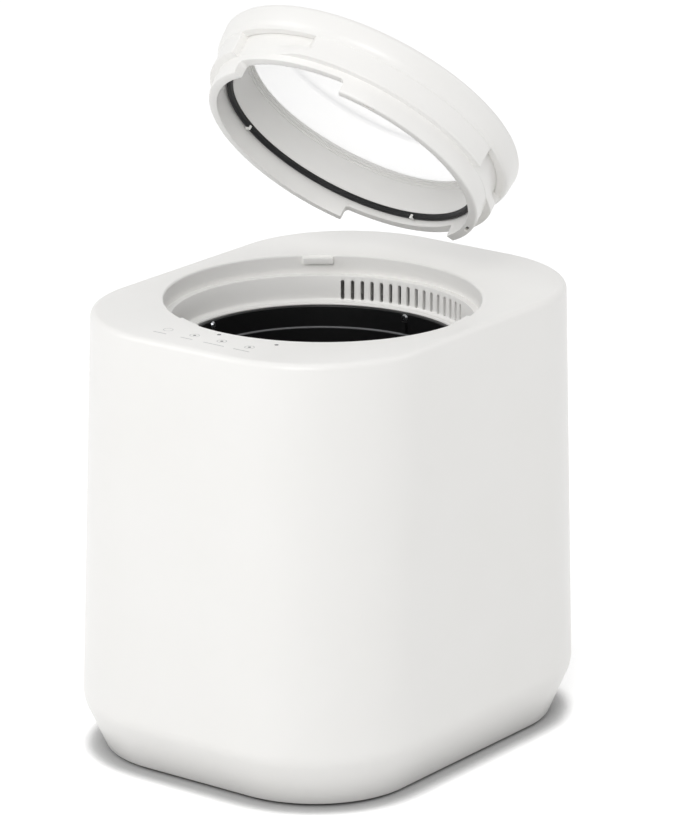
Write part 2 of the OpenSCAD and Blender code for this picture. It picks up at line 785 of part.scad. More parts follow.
module filter_drawer() {
    face_half_w = drawer_half_w - drawer_gap;
    face_h = drawer_h - 2 * drawer_gap;
    color(white) difference() {
        union() {
            back_patch(face_half_w, drawer_z + drawer_gap, face_h);
            intersection() {
                housing_outside();
                drawer_tray();
            }
        }
        for (i = [0 : grille_count - 1])
            translate([(i - (grille_count - 1) / 2) * grille_w * 2.2 - grille_w / 2, 140, tray_z + 6])
                cube([grille_w, 30, tray_h - 14]);
        finger_notch();
    }
}
module drawer_tray() {
    difference() {
        translate([-tray_half_w, tray_y, tray_z]) cube([2 * tray_half_w, 80, tray_h]);
        translate([-tray_half_w + sleeve_t, tray_y + sleeve_t, tray_z + sleeve_t])
            cube([2 * (tray_half_w - sleeve_t), 153 - tray_y - sleeve_t, tray_h]);
    }
}
module finger_notch() {
    top = drawer_z + drawer_h;
    translate([0, 140, top - notch_h]) {
        translate([-notch_half_w, 0, 6]) cube([2 * notch_half_w, 30, notch_h]);
        translate([-notch_half_w + 6, 0, 0]) cube([2 * notch_half_w - 12, 30, notch_h]);
        for (sx = [-1, 1]) translate([sx * (notch_half_w - 6), 0, 6]) rotate([-90, 0, 0])
            cylinder(r = 6, h = 30, $fn = 32);
    }
}
module carbon_filter() {
    half_w = tray_half_w - sleeve_t - 0.6;
    y = tray_y + sleeve_t + 0.6;
    depth = 153 - y - 0.6;
    h = tray_h + 8;
    color(dark) translate([-half_w, y, tray_z + sleeve_t]) difference() {
        cube([2 * half_w, depth, h]);
        for (i = [0 : 8], j = [0 : 3])
            translate([4 + i * (2 * half_w - 8) / 9 + 1, 4 + j * (depth - 8) / 4 + 1, h - 6])
                cube([(2 * half_w - 8) / 9 - 2, (depth - 8) / 4 - 2, 7]);
    }
}
function inlet_face_y() = slice_at(inlet_at[1])[1] - inlet_sunk;
module power_inlet() {
    color(dark) translate([inlet_at[0], inlet_face_y(), inlet_at[1]]) difference() {
        union() {
            translate([-inlet_w / 2, -inlet_depth, -inlet_h / 2]) cube([inlet_w, inlet_depth, inlet_h]);
            translate([-inlet_w / 2 - 6, inlet_sunk - wall_t - 2.15, -inlet_h / 2 - 3])
                cube([inlet_w + 12, 2, inlet_h + 6]);
        }
        translate([-inlet_w / 2 + 2, -inlet_depth + 5, -inlet_h / 2 + 2])
            cube([inlet_w - 4, inlet_depth, inlet_h - 4]);
        for (x = [-7, 0, 7]) translate([x - 1, -inlet_depth - 1, x == 0 ? 0 : -3]) cube([2, 7, 4]);
    }
}
module inlet_pins() {
    color(steel) for (x = [-7, 0, 7])
        translate([inlet_at[0] + x - 1, inlet_face_y() - inlet_depth - 6, inlet_at[1] + (x == 0 ? 0 : -3)])
            cube([2, 25, 4]);
}
function board_holes() = [for (fx = [0.1, 0.9], fy = [0.04, 0.96])
    [board_at[0] + fx * board_size[0], board_at[1] + fy * board_size[1]]];
module control_board() {
    color("#2f6b3f") translate([board_at[0], board_at[1], board_z]) difference() {
        union() {
            cube(board_size);
            translate([6, 14, 1]) cube([26, 30, 26]);
            translate([8, 56, 1]) cube([14, 20, 17]);
            for (y = [54, 66, 78]) translate([31, y, 1]) cylinder(r = 5, h = 20, $fn = 32);
            translate([8, 88, 1]) cube([22, 16, 9]);
        }
        for (p = board_holes()) translate([p[0] - board_at[0], p[1] - board_at[1], 0])
            screw_hole(-1, 4);
    }
}
module board_screws() {
    color(steel) for (p = board_holes()) translate([p[0], p[1], board_z + board_size[2]])
        rotate([180, 0, 0]) screw(7);
}
module touch_board() {
    z = body_h - top_t - 1.6;
    color("#2f6b3f") union() {
        translate([-touch_half_w, touch_y - 11, z]) cube([2 * touch_half_w, 22, 1.6]);
        for (i = [-1.5 : 1 : 1.5]) translate([i * 22, touch_y, z - 1.2]) cylinder(r = 2, h = 2, $fn = 24);
        translate([-30, touch_y - 3, z - 5]) cube([60, 6, 5.1]);
    }
}
module lid_sensor() {
    color(dark) at_well() rotate([0, 0, lid_slots[0] - lock_turn])
        translate([throat_r + collar_t + 0.2, -5, flange_z + 1]) cube([3, 10, 14]);
}

module bucket() {
    r = bucket_low_r;
    c = bucket_corner_r;
    foot_z = bucket_under_z - bucket_foot_h;
    color(dark) at_well() union() {
        rotate_extrude() polygon(concat(
            [[shaft_r + bush_wall, bucket_under_z]],
            arc_points(r - c, bucket_under_z + c, c, -90, 0, 8),
            [[r, step_z - 4], [bucket_wall_r, step_z - 1], [bucket_wall_r, bucket_rim_z - bead_h - 1.4],
             [bucket_rim_r, bucket_rim_z - bead_h]],
            arc_points(bucket_rim_r - 1, bucket_rim_z - 1, 1, 0, 90, 3),
            arc_points(bucket_in_r + 1, bucket_rim_z - 1, 1, 90, 180, 3),
            [[bucket_in_r, step_z], [bucket_low_in_r, step_z - 0.6]],
            arc_points(bucket_low_in_r - c + 2, bucket_floor_z + c - 2, c - 2, 0, -90, 8),
            [[shaft_r + bush_wall + 4, bucket_floor_z],
             [shaft_r + bush_wall + 2.5, bucket_floor_z + bucket_boss_h],
             [shaft_r + bush_wall, bucket_floor_z + bucket_boss_h]]
        ));
        ring(56, 59, foot_z, bucket_foot_h + 0.5);
    }
}
module bucket_wall_bars() {
    color(dark) at_well() for (a = [0 : 90 : 270]) {
        arc_block(bucket_low_in_r - 3, bucket_low_in_r - touch_gap, bucket_floor_z + 32,
            step_z - bucket_floor_z - 44, a - 1.6, 3.2);
        arc_block(bucket_in_r - 1.4, bucket_in_r - touch_gap, step_z + 1, 8, a - 1, 2);
    }
}
module bucket_rivets() {
    color(steel) at_well() for (a = [0 : 90 : 270]) rotate([0, 0, a]) {
        rivet(bucket_in_r, step_z + 12);
        rivet(bucket_low_in_r, bucket_floor_z + 26);
        rivet(bucket_low_in_r, step_z - 8);
    }
}
module rivet(r, z) {
    translate([r - touch_gap, 0, z]) rotate([0, -90, 0]) cylinder(r1 = 2.4, r2 = 1.6, h = 1.4, $fn = 32);
}
module bucket_bush() {
    color("#b08d4a") at_well()
        ring(shaft_r + running_gap, shaft_r + bush_wall, bucket_under_z, bucket_boss_h + bucket_floor_t + 1);
}
module bucket_shaft() {
    top = bucket_floor_z + bucket_boss_h + 26;
    color(steel) at_well() {
        difference() {
            translate([0, 0, hex_z - 0.4]) cylinder(r = coupling_r, h = bucket_under_z - 0.5 - hex_z + 0.4);
            translate([0, 0, hex_z - 1]) cylinder(r = hex_r + hex_gap, h = hex_h + 1.6, $fn = 6);
        }
        translate([0, 0, bucket_under_z - 1]) cylinder(r = shaft_r, h = top - bucket_under_z + 1);
    }
}
// A curved blade from the hub out to a reach, wedge-shaped in section
module blade(reach, h) {
    start = 2 * asin(14 / 2 / blade_curve);
    end = 2 * asin(reach / 2 / blade_curve);
    translate([0, blade_curve, 0]) rotate([0, 0, start - 90]) rotate_extrude(angle = end - start)
        translate([blade_curve, 0]) polygon([[-4, 0], [3, 0], [1.2, h], [-1.8, h]]);
}
module stirring_rotor() {
    z = bucket_floor_z + 1.6;
    boss = shaft_r + bush_wall + 4;
    top = bucket_floor_z + bucket_boss_h + 20;
    color("#a9adb2") at_well() union() {
        rotate_extrude() polygon(concat(
            [[boss + 1.2, z], [boss + 6, z], [boss + 5, z + 18]],
            arc_points(shaft_r + 4, top - 6, 6, 20, 80, 4),
            [[shaft_r, top], [shaft_r, bucket_floor_z + bucket_boss_h + 2],
             [boss + 0.2, bucket_floor_z + bucket_boss_h + 2]]
        ));
        for (a = [0, 180]) rotate([0, 0, a]) translate([0, 0, z]) intersection() {
            blade(blade_reach, blade_h);
            ring(boss + 3, blade_reach + 6, -1, 60);
        }
        for (a = [90, 270]) rotate([0, 0, a]) translate([0, 0, z + 18]) intersection() {
            blade(short_reach, blade_h * 0.7);
            ring(shaft_r + 6, short_reach + 6, -1, 60);
        }
    }
}
module rotor_nut() {
    z = bucket_floor_z + bucket_boss_h + 20;
    color(steel) at_well() difference() {
        union() {
            translate([0, 0, z]) cylinder(r = 9, h = 5, $fn = 6);
            translate([0, 0, z + 5 - eps]) cylinder(r1 = 7, r2 = 5.5, h = 3);
        }
        translate([0, 0, z - 1]) cylinder(r = shaft_r, h = 7);
    }
}

// Puts what is modelled on the closed lid's axis where the lid rests open
module in_lid() {
    translate([0, swing_y, body_h + swing_up]) rotate([-lid_tilt, 0, 0])
        translate([0, well_y - swing_y, lid_z - body_h - swing_up]) children();
}
module lid_cap() {
    lip_r = frame_r + 0.4;
    lip_z = frame_flange_z + frame_flange_t + 0.5;
    color(white) in_lid() rotate_extrude() polygon(concat(
        [[spigot_r + 0.4, cap_z], [cap_r - 1, cap_z]],
        arc_points(cap_r - cap_round, lid_top_z - cap_round, cap_round, 0, 80, 6),
        [[lip_r + 3, lid_top_z + 0.6], [lip_r, lid_top_z]],
        [[lip_r, lip_z], [lip_r + 2.2, lip_z], [lip_r + 3.5, lid_top_z - cap_t]],
        arc_points(cap_r - cap_round, lid_top_z - cap_round, cap_round - cap_t, 80, 0, 4),
        [[cap_r - cap_t - 0.8, cap_z + cap_t], [spigot_r + 0.4, cap_z + cap_t]]
    ));
}
// A cut-out in the skirt, from its foot up, with rounded corners at its top
module skirt_cutout(start, end) {
    turn = cutout_r / skirt_r * 180 / PI;
    bottom = -skirt_h - 1;
    top = -skirt_short_h;
    arc_block(skirt_bore_r - 1, skirt_r + 1, bottom, top - bottom, start + turn, end - start - 2 * turn);
    arc_block(skirt_bore_r - 1.1, skirt_r + 1.1, bottom - 0.1, top - cutout_r - bottom + 0.1, start,
        end - start);
    for (a = [start + turn, end - turn]) rotate([0, 0, a]) translate([skirt_bore_r - 1.2, 0, top - cutout_r])
        rotate([0, 90, 0]) cylinder(r = cutout_r, h = skirt_r - skirt_bore_r + 2.4, $fn = 32);
}
module lid_lock_ring() {
    color(white) in_lid() difference() {
        rotate([0, 0, ring_seam]) rotate_extrude() polygon([
            [skirt_bore_r, -skirt_h], [skirt_r, -skirt_h], [skirt_r, 0], [band_r, 0], [band_r, cap_z],
            [spigot_r, cap_z], [spigot_r, spigot_top_z], [skirt_bore_r, spigot_top_z]
        ]);
        for (k = [0 : 2]) {
            arc_block(recess_r, band_r + 1, -1, cap_z + 1 + recess_over, band_end + 120 * k,
                120 - (band_end - band_start));
            arc_block(recess_r, band_r + 1, groove_z, cap_z - groove_z + groove_over,
                band_start - 1 + 120 * k, groove_end - band_start + 1);
        }
        for (c = cutouts) skirt_cutout(c[0], c[1]);
        for (a = lid_slots) rotate([0, 0, a])
            translate([(skirt_bore_r + skirt_r) / 2 - 1.1, -4, -skirt_h - 1]) cube([2.2, 8, 8]);
    }
}
module lid_magnets() {
    color(steel) in_lid() for (a = lid_slots) rotate([0, 0, a])
        translate([(skirt_bore_r + skirt_r) / 2 - 1, -3.9, -skirt_h + 1]) cube([2, 7.8, 6]);
}
module lid_frame() {
    z1 = pane_z - 1.7;
    flange_top = frame_flange_z + frame_flange_t;
    color(white) in_lid() rotate_extrude() polygon([
        [window_r + pane_edge + 0.1, pane_z + pane_t], [window_r + pane_edge + 0.1, pane_z],
        [window_r, pane_z], [window_r, z1], [window_r + 0.9, z1],
        [window_r + 0.9, z1 - 1.6], [window_r + 1.8, z1 - 1.6],
        [window_r + 1.8, z1 - 3.2], [window_r + 2.5, z1 - 3.2],
        [window_r + 1.9, frame_bottom_z], [frame_r, frame_bottom_z],
        [frame_r, frame_flange_z], [frame_flange_r, frame_flange_z],
        [frame_flange_r, flange_top], [frame_r, flange_top], [frame_r, pane_z + pane_t]
    ]);
}
module lid_window() {
    color("#dfe8ea", 0.35) in_lid() translate([0, 0, pane_z]) cylinder(r = window_r + pane_edge, h = pane_t);
}
module lid_gasket() {
    color(black_rubber) in_lid() rotate_extrude() polygon([
        [window_r + 2, gasket_z + 1], [window_r + 3.2, gasket_z], [frame_r - 0.2, gasket_z],
        [frame_r, gasket_z + 1.5], [frame_r, frame_bottom_z], [window_r + 1.9, frame_bottom_z]
    ]);
}
module gasket_clips() {
    color(white) in_lid() for (a = [-4 : 90 : 266]) rotate([0, 0, a]) {
        translate([window_r + 0.9, -0.9, gasket_z - 1.4]) cube([frame_r - window_r - 1.3, 1.8, 1.35]);
        translate([window_r + 0.9, -0.9, gasket_z - 1.4]) cube([0.8, 1.8, 7]);
    }
}

housing_shell();
bottom_cover();
rubber_feet();
bottom_cover_screws();
throat_collar();
collar_screws();
well_liner();
insulation_sleeve();
heater_plate();
heating_element();
temperature_sensor();
shaft_seal();
gearbox_case();
gearbox_cover();
gearbox_screws();
output_bushes();
cluster_axle();
output_shaft();
output_gear();
cluster_gear();
motor_pinion();
motor_shaft();
drive_motor();
exhaust_duct();
fan_frame();
fan_rotor();
filter_sleeve();
filter_drawer();
carbon_filter();
power_inlet();
inlet_pins();
control_board();
board_screws();
touch_board();
lid_sensor();
bucket();
bucket_wall_bars();
bucket_rivets();
bucket_bush();
bucket_shaft();
stirring_rotor();
rotor_nut();
lid_cap();
lid_lock_ring();
lid_magnets();
lid_frame();
lid_window();
lid_gasket();
gasket_clips();
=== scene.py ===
# %% [markdown]
# # An electric food waste composter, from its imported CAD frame
# This lesson dresses the machine for a studio picture. The CAD frame gives every piece its true
# size and place, so the work here is surface: smooth skins where the frame is faceted, printed
# marks on the touch panel, and a finish for each material. Everything is in metres, and the
# origin is the middle of the footprint on the table.

# %% Load the frame
import json
import math

import bmesh
import bpy
from mathutils import Matrix, Vector


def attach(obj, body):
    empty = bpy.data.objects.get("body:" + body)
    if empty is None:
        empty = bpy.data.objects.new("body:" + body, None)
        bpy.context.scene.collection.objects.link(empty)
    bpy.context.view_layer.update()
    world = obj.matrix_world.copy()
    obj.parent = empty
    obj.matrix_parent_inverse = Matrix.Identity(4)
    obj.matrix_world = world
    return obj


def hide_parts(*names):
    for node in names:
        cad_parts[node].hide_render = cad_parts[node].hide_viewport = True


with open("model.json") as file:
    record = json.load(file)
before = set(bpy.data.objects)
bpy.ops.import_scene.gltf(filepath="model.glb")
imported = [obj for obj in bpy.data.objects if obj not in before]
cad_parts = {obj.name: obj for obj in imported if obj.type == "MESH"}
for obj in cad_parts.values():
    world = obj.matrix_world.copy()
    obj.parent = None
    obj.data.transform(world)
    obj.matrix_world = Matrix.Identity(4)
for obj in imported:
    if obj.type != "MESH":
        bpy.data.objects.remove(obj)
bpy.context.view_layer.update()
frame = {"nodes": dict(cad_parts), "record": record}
nodes = frame["nodes"]
print("pieces in the frame:", len(nodes))

# %% [markdown]
# ## Real sizes
# Lengths are written in millimetres, as they would be on a drawing, and `mm` turns them into
# metres. The sizes below repeat the ones that the skins and marks must agree with.

# %% Sizes that the skins share with the frame
def mm(value):
    return value / 1000


BODY_TOP = 305
WAIST_Z = 36
FOOT_GAP = 2
WELL_Y = -8.7
RIM_R = 106
LEDGE_Z = BODY_TOP - 13.4
print("rim ledge is", round(BODY_TOP - LEDGE_Z, 1), "mm under the top")

# %% [markdown]
# ## Colour
# Blender's sockets want linear light, and people name colours in sRGB. One function turns a hex
# value into linear numbers, so every colour below can be read as it would look on a screen.

# %% Colour helper
def linear(hex_colour):
    parts = [int(hex_colour[i:i + 2], 16) / 255 for i in (1, 3, 5)]
    return [p / 12.92 if p <= 0.04045 else ((p + 0.055) / 1.055) ** 2.4 for p in parts] + [1.0]


print("mid grey is", round(linear("#808080")[0], 3), "in linear light")

# %% [markdown]
# ## Nodes
# A material is a small graph. One helper adds a node with its settings, and joins a socket when
# the value it is given is another node's output. Short ones for what every finish needs, such as
# noise, a blend of two colours or a bump, are built on it, so reading a material is reading a list.

# %% Node helpers
def add_node(tree, kind, inputs=None, **settings):
    node = tree.nodes.new("ShaderNode" + kind)
    for name, value in settings.items():
        setattr(node, name, value)
    for socket, value in (inputs or {}).items():
        if isinstance(value, bpy.types.NodeSocket):
            tree.links.new(value, node.inputs[socket])
        else:
            node.inputs[socket].default_value = value
    return node


def start_material(name):
    material = bpy.data.materials.new(name)
    material.use_nodes = True
    tree = material.node_tree
    tree.nodes.clear()
    place = add_node(tree, "TexCoord").outputs["Object"]
    return material, tree, place


def end_material(tree, surface):
    add_node(tree, "OutputMaterial", {"Surface": surface})


def noise(tree, place, size_mm, detail, distortion=0.0):
    """Cloudy noise whose lumps are about size_mm across."""
    return add_node(tree, "TexNoise", {"Vector": place, "Scale": 1000 / size_mm, "Detail": detail,
                                       "Distortion": distortion}).outputs["Fac"]


def cells(tree, place, size_mm, feature="F1"):
    """Cells about size_mm across: the distance to the nearest middle, or to the nearest edge."""
    return add_node(tree, "TexVoronoi", {"Vector": place, "Scale": 1000 / size_mm},
                    feature=feature).outputs["Distance"]


def blend(tree, factor, a, b, **settings):
    """A colour between a, where the factor is 0, and b, where it is 1."""
    return add_node(tree, "Mix", {"Factor": factor, "A": a, "B": b}, data_type="RGBA",
                    **settings).outputs["Result"]


def between(tree, value, low, high, start=0.0, end=1.0, **settings):
    """A number that runs from low to high while the value runs from start to end."""
    return add_node(tree, "MapRange", {"Value": value, "From Min": start, "From Max": end,
                                       "To Min": low, "To Max": high},
                    **settings).outputs["Result"]


def relief(tree, height, strength, depth_mm, **settings):
    """The bent normal of a surface whose bumps are depth_mm high."""
    return add_node(tree, "Bump", {"Height": height, "Strength": strength,
                                   "Distance": mm(depth_mm)}, **settings).outputs["Normal"]


# %% [markdown]
# ## Moulded plastics
# The housing and lid are white ABS. A polished tool with a fine spark texture gives ABS a satin
# skin: broad soft highlights, with a very faint mottling in both colour and gloss. The real
# texture is about 0.1 mm, too fine to show, so it is drawn at 0.7 mm and kept shallow. The same
# recipe, with other colours and grain, serves the grey ABS, the acetal gears and the dark
# glass-filled nylon of the gearbox, so it is a function.

# %% Moulded plastic
def moulded(name, colour, shade, roughness, ior, grain_mm, depth_mm, flow_mm=60, spread=0.05):
    material, tree, place = start_material(name)
    flow = noise(tree, place, flow_mm, 3.0)
    grain = noise(tree, place, grain_mm, 2.0)
    tint = blend(tree, flow, linear(colour), linear(shade))
    gloss = between(tree, grain, roughness - spread, roughness + spread)
    bump = relief(tree, grain, 0.35, depth_mm)
    skin = add_node(tree, "BsdfPrincipled", {
        "Base Color": tint, "Roughness": gloss, "IOR": ior, "Normal": bump})
    end_material(tree, skin.outputs["BSDF"])
    return material


white_abs = moulded("white_abs_satin", "#F6F5F3", "#F3F2EF", 0.34, 1.53, 0.7, 0.012)
grey_abs = moulded("grey_abs_matt", "#C9C8C5", "#C1C0BD", 0.52, 1.53, 0.9, 0.03)
nylon = moulded("glass_filled_nylon", "#2B2C2E", "#232426", 0.46, 1.53, 0.6, 0.05, 12, 0.12)
acetal = moulded("acetal_gear_white", "#E9E2CF", "#E2DAC5", 0.33, 1.48, 1.2, 0.01, 18)
print("moulded plastics:", [m.name for m in (white_abs, grey_abs, nylon, acetal)])

# %% [markdown]
# ## Rubber and felt
# The gasket and feet are moulded silicone rubber. It has a dull skin with a little dust in it, so
# its highlights are wide and its black isn't quite black. The blanket round the well is needled
# glass fibre, a mat of crossing threads about 0.3 mm thick, drawn here at 1 mm so that it shows.

# %% Rubber and felt
def rubber_skin(name, colour, dust):
    material, tree, place = start_material(name)
    bloom = noise(tree, place, 9, 6.0)
    speck = noise(tree, place, 0.6, 2.0)
    tint = blend(tree, bloom, linear(colour), linear(dust))
    bump = relief(tree, speck, 0.5, 0.03)
    skin = add_node(tree, "BsdfPrincipled", {
        "Base Color": tint, "Roughness": 0.62, "IOR": 1.41, "Sheen Weight": 0.08, "Normal": bump})
    end_material(tree, skin.outputs["BSDF"])
    return material


def felt_skin(name, colour, thread):
    material, tree, place = start_material(name)
    fibre = noise(tree, place, 2.5, 8.0, 2.5)
    mesh_lines = cells(tree, place, 1.0, "DISTANCE_TO_EDGE")
    tint = blend(tree, fibre, linear(colour), linear(thread))
    bump = relief(tree, mesh_lines, 0.8, 0.4)
    skin = add_node(tree, "BsdfPrincipled", {
        "Base Color": tint, "Roughness": 0.92, "Sheen Weight": 0.3, "Normal": bump})
    end_material(tree, skin.outputs["BSDF"])
    return material


silicone = rubber_skin("black_silicone_rubber", "#151516", "#1E1E20")
blanket = felt_skin("needled_glass_fibre", "#8B8A80", "#A5A499")
print("soft finishes:", silicone.name, blanket.name)

# %% [markdown]
# ## Metals
# Each metal shows how it was made. Turned and spun parts carry rings about their own axis, which
# stretch a highlight across them; castings are pebbly and dull; plated sheet is smooth with a
# faint flow. The rings are a wave texture on the distance from the axis, one ring every half
# millimetre, as coarse as a fine feed can be drawn. A metal keeps the default IOR.

# %% Turned, cast and plated metal
def metal_skin(name, colour, shade, roughness, rings_mm=None, grain_mm=1.5, depth_mm=0.01):
    material, tree, place = start_material(name)
    cloud = noise(tree, place, 14, 4.0)
    if rings_mm:
        # a wave node draws 20 bands over 2 pi units, so this scale makes one ring every rings_mm
        marks = add_node(tree, "TexWave", {"Vector": place, "Scale": 1000 / rings_mm / 3.18,
                                           "Distortion": 0.6, "Detail": 2.0},
                         wave_type="RINGS", rings_direction="Z").outputs["Fac"]
    else:
        marks = noise(tree, place, grain_mm, 5.0)
    tint = blend(tree, cloud, linear(colour), linear(shade))
    gloss = between(tree, marks, roughness - 0.07, roughness + 0.07)
    bump = relief(tree, marks, 0.4, depth_mm)
    skin = add_node(tree, "BsdfPrincipled", {
        "Base Color": tint, "Metallic": 1.0, "Roughness": gloss, "Normal": bump})
    end_material(tree, skin.outputs["BSDF"])
    return material


cast_aluminium = metal_skin("cast_aluminium", "#A9ABAE", "#989A9D", 0.5, None, 1.6, 0.06)
spun_aluminium = metal_skin("spun_aluminium", "#C4C6C9", "#B5B7BA", 0.34, 1.0)
turned_steel = metal_skin("turned_stainless_steel", "#B4B6B8", "#A3A5A8", 0.28, 0.6)
zinc_screw = metal_skin("zinc_plated_screw", "#B9BBBD", "#A4A5A3", 0.38, None, 0.8, 0.02)
motor_sheet = metal_skin("zinc_plated_motor_can", "#9DA0A5", "#8B8E93", 0.33, None, 3.0, 0.01)
turned_brass = metal_skin("turned_brass", "#C29A52", "#AE8745", 0.27, 0.6)
element_steel = metal_skin("heat_tinted_sheath", "#7A6A60", "#4E4A4D", 0.42, None, 2.2, 0.03)
nickel = metal_skin("nickel_plated_magnet", "#C6C4BE", "#B2B0AA", 0.18, None, 1.5, 0.006)
print("metals:", [m.name for m in (cast_aluminium, spun_aluminium, turned_steel, zinc_screw,
                                   motor_sheet, turned_brass, element_steel, nickel)])

# %% [markdown]
# ## The non-stick coating
# The bucket is deep-drawn aluminium with a sprayed ceramic non-stick coat: near black, satin,
# and finely speckled. Where the wall steps in, a thin grey line runs round the bucket: a painted
# highlight on the step's edge, put into the base colour by a mask on height, only there.

# %% Non-stick coating
STEP_Z = BODY_TOP - 47.7


def nonstick_skin(name):
    material, tree, place = start_material(name)
    spray = noise(tree, place, 1.1, 4.0)
    fleck = between(tree, cells(tree, place, 2.2), 1.0, 0.0, 0.0, 0.16)
    coat = blend(tree, fleck, linear("#0B0B0C"), linear("#191A1B"))
    height = add_node(tree, "SeparateXYZ", {"Vector": place}).outputs["Z"]
    away = add_node(tree, "Math", {0: height, 1: mm(STEP_Z)}, operation="SUBTRACT")
    apart = add_node(tree, "Math", {0: away.outputs[0]}, operation="ABSOLUTE").outputs[0]
    # painted highlight: a light grey band in the base colour, within 0.6 mm of the step's height
    painted_highlight = between(tree, apart, 0.8, 0.0, mm(0.15), mm(0.6))
    colour = blend(tree, painted_highlight, coat, linear("#8E8F91"))
    gloss = between(tree, spray, 0.3, 0.44)
    bump = relief(tree, spray, 0.5, 0.03)
    skin = add_node(tree, "BsdfPrincipled", {
        "Base Color": colour, "Roughness": gloss, "IOR": 1.5, "Normal": bump})
    end_material(tree, skin.outputs["BSDF"])
    return material


nonstick = nonstick_skin("ceramic_nonstick_coat")
print("coating:", nonstick.name, "with a bright edge at", round(STEP_Z, 1), "mm")

# %% [markdown]
# ## Clear window, circuit board and carbon
# The lid's window is polished clear polycarbonate, which bends light as its IOR says and shows
# only a faint reflection. Circuit boards are green solder mask with a weave of glass cloth under
# it. The filter is pressed coconut carbon: black grains of about 1.5 mm, each with its own tilt.

# %% Clear, board and carbon finishes
def clear_skin(name):
    material, tree, place = start_material(name)
    gloss = between(tree, noise(tree, place, 45, 2.0), 0.0, 0.02)
    skin = add_node(tree, "BsdfPrincipled", {
        "Base Color": linear("#FFFFFF"), "Roughness": gloss, "IOR": 1.58,
        "Specular IOR Level": 0.08, "Transmission Weight": 1.0})
    end_material(tree, skin.outputs["BSDF"])
    return material


def board_skin(name):
    material, tree, place = start_material(name)
    cloth = add_node(tree, "TexChecker", {"Vector": place, "Scale": 1000 / 0.8,
                                          "Color1": linear("#175C33"), "Color2": linear("#12502B")})
    track = add_node(tree, "TexBrick", {"Vector": place, "Scale": 1000 / 9,
                                        "Color1": linear("#1B6A3C"), "Color2": linear("#18613A"),
                                        "Mortar": linear("#0F4425"), "Mortar Size": 0.05})
    tint = blend(tree, 0.5, cloth.outputs["Color"], track.outputs["Color"])
    skin = add_node(tree, "BsdfPrincipled", {"Base Color": tint, "Roughness": 0.28, "IOR": 1.55})
    end_material(tree, skin.outputs["BSDF"])
    return material


def carbon_skin(name):
    material, tree, place = start_material(name)
    grain = cells(tree, place, 1.5)
    tint = blend(tree, grain, linear("#1A1A1B"), linear("#0C0C0D"))
    bump = relief(tree, grain, 1.0, 0.5, invert=True)
    skin = add_node(tree, "BsdfPrincipled", {"Base Color": tint, "Roughness": 0.78,
                                             "Normal": bump})
    end_material(tree, skin.outputs["BSDF"])
    return material


polycarbonate = clear_skin("polished_polycarbonate")
solder_mask = board_skin("green_solder_mask")
carbon_block = carbon_skin("pressed_carbon")
print("special finishes:", polycarbonate.name, solder_mask.name, carbon_block.name)

# %% [markdown]
# ## Dressing the frame
# The record gives each node a material slot. A table from slot to finish dresses the whole frame
# at once.

# %% Give every node its finish
FINISHES = {
    "white_plastic": white_abs, "grey_plastic": grey_abs, "nonstick_aluminium": nonstick,
    "cast_aluminium": cast_aluminium, "spun_aluminium": spun_aluminium, "steel": turned_steel,
    "screw_steel": zinc_screw, "brass": turned_brass, "acetal": acetal, "dark_plastic": nylon,
    "rubber": silicone, "felt": blanket, "element_sheath": element_steel,
    "motor_can": motor_sheet, "circuit_board": solder_mask, "carbon": carbon_block,
    "clear_plastic": polycarbonate, "magnet": nickel,
}
slot_of = {part["node"]: part["material_slot"] for part in frame["record"]["subparts"]}
for name, node in nodes.items():
    node.data.materials.clear()
    node.data.materials.append(FINISHES[slot_of[name]])
print("dressed", len(nodes), "nodes in", len(set(slot_of.values())), "finishes")

# %% [markdown]
# ## A skin from rings
# The housing is a tall loft: a rounded rectangle that changes as it climbs. The frame holds it
# as flat facets. A skin made of many rings of points is smooth, and rings can turn from a
# rounded rectangle into the round rim, so one closed sheet makes the walls, the top, the rim
# and the inside. Each ring has the same number of points, and neighbours join in quads.

# %% Ring and sheet helpers
CORNER_STEPS = 28
SIDE_STEPS = 16
RING_POINTS = 4 * (CORNER_STEPS + SIDE_STEPS)


def rounded_ring(half_w, half_d, r, z):
    """One ring of a rounded rectangle, from the middle of the right side, anticlockwise."""
    points = []
    for quarter, (sx, sy) in enumerate(((1, 1), (-1, 1), (-1, -1), (1, -1))):
        cx, cy = sx * (half_w - r), sy * (half_d - r)
        for i in range(CORNER_STEPS + 1):
            a = math.radians(90 * (quarter + i / CORNER_STEPS))
            points.append((cx + r * math.cos(a), cy + r * math.sin(a)))
        nx, ny = ((-1, 1), (-1, -1), (1, -1), (1, 1))[quarter]
        end = points[-1]
        a = math.radians(90 * (quarter + 1))
        start = (nx * (half_w - r) + r * math.cos(a), ny * (half_d - r) + r * math.sin(a))
        for i in range(1, SIDE_STEPS):
            t = i / SIDE_STEPS
            points.append((end[0] + (start[0] - end[0]) * t, end[1] + (start[1] - end[1]) * t))
    return [Vector((mm(x), mm(y), mm(z))) for x, y in points]


def round_ring(like, r, z):
    """A circle about the well axis whose points lie in the same directions as those of like."""
    ring = []
    for p in like:
        a = math.atan2(p.y - mm(WELL_Y), p.x)
        ring.append(Vector((mm(r) * math.cos(a), mm(WELL_Y) + mm(r) * math.sin(a), mm(z))))
    return ring


def sheet_object(name, rings, loop=True):
    """A tube of quads through the rings, which ends where it began or has a face at each end."""
    bm = bmesh.new()
    rows = [[bm.verts.new(p) for p in ring] for ring in rings]
    count = len(rows[0])
    pairs = list(zip(rows, rows[1:])) + ([(rows[-1], rows[0])] if loop else [])
    for low, high in pairs:
        for i in range(count):
            j = (i + 1) % count
            bm.faces.new((low[i], low[j], high[j], high[i]))
    if not loop:
        bm.faces.new(rows[0])
        bm.faces.new(rows[-1])
    bmesh.ops.recalc_face_normals(bm, faces=bm.faces)
    mesh = bpy.data.meshes.new(name)
    bm.to_mesh(mesh)
    bm.free()
    piece = bpy.data.objects.new(name, mesh)
    bpy.context.scene.collection.objects.link(piece)
    return piece


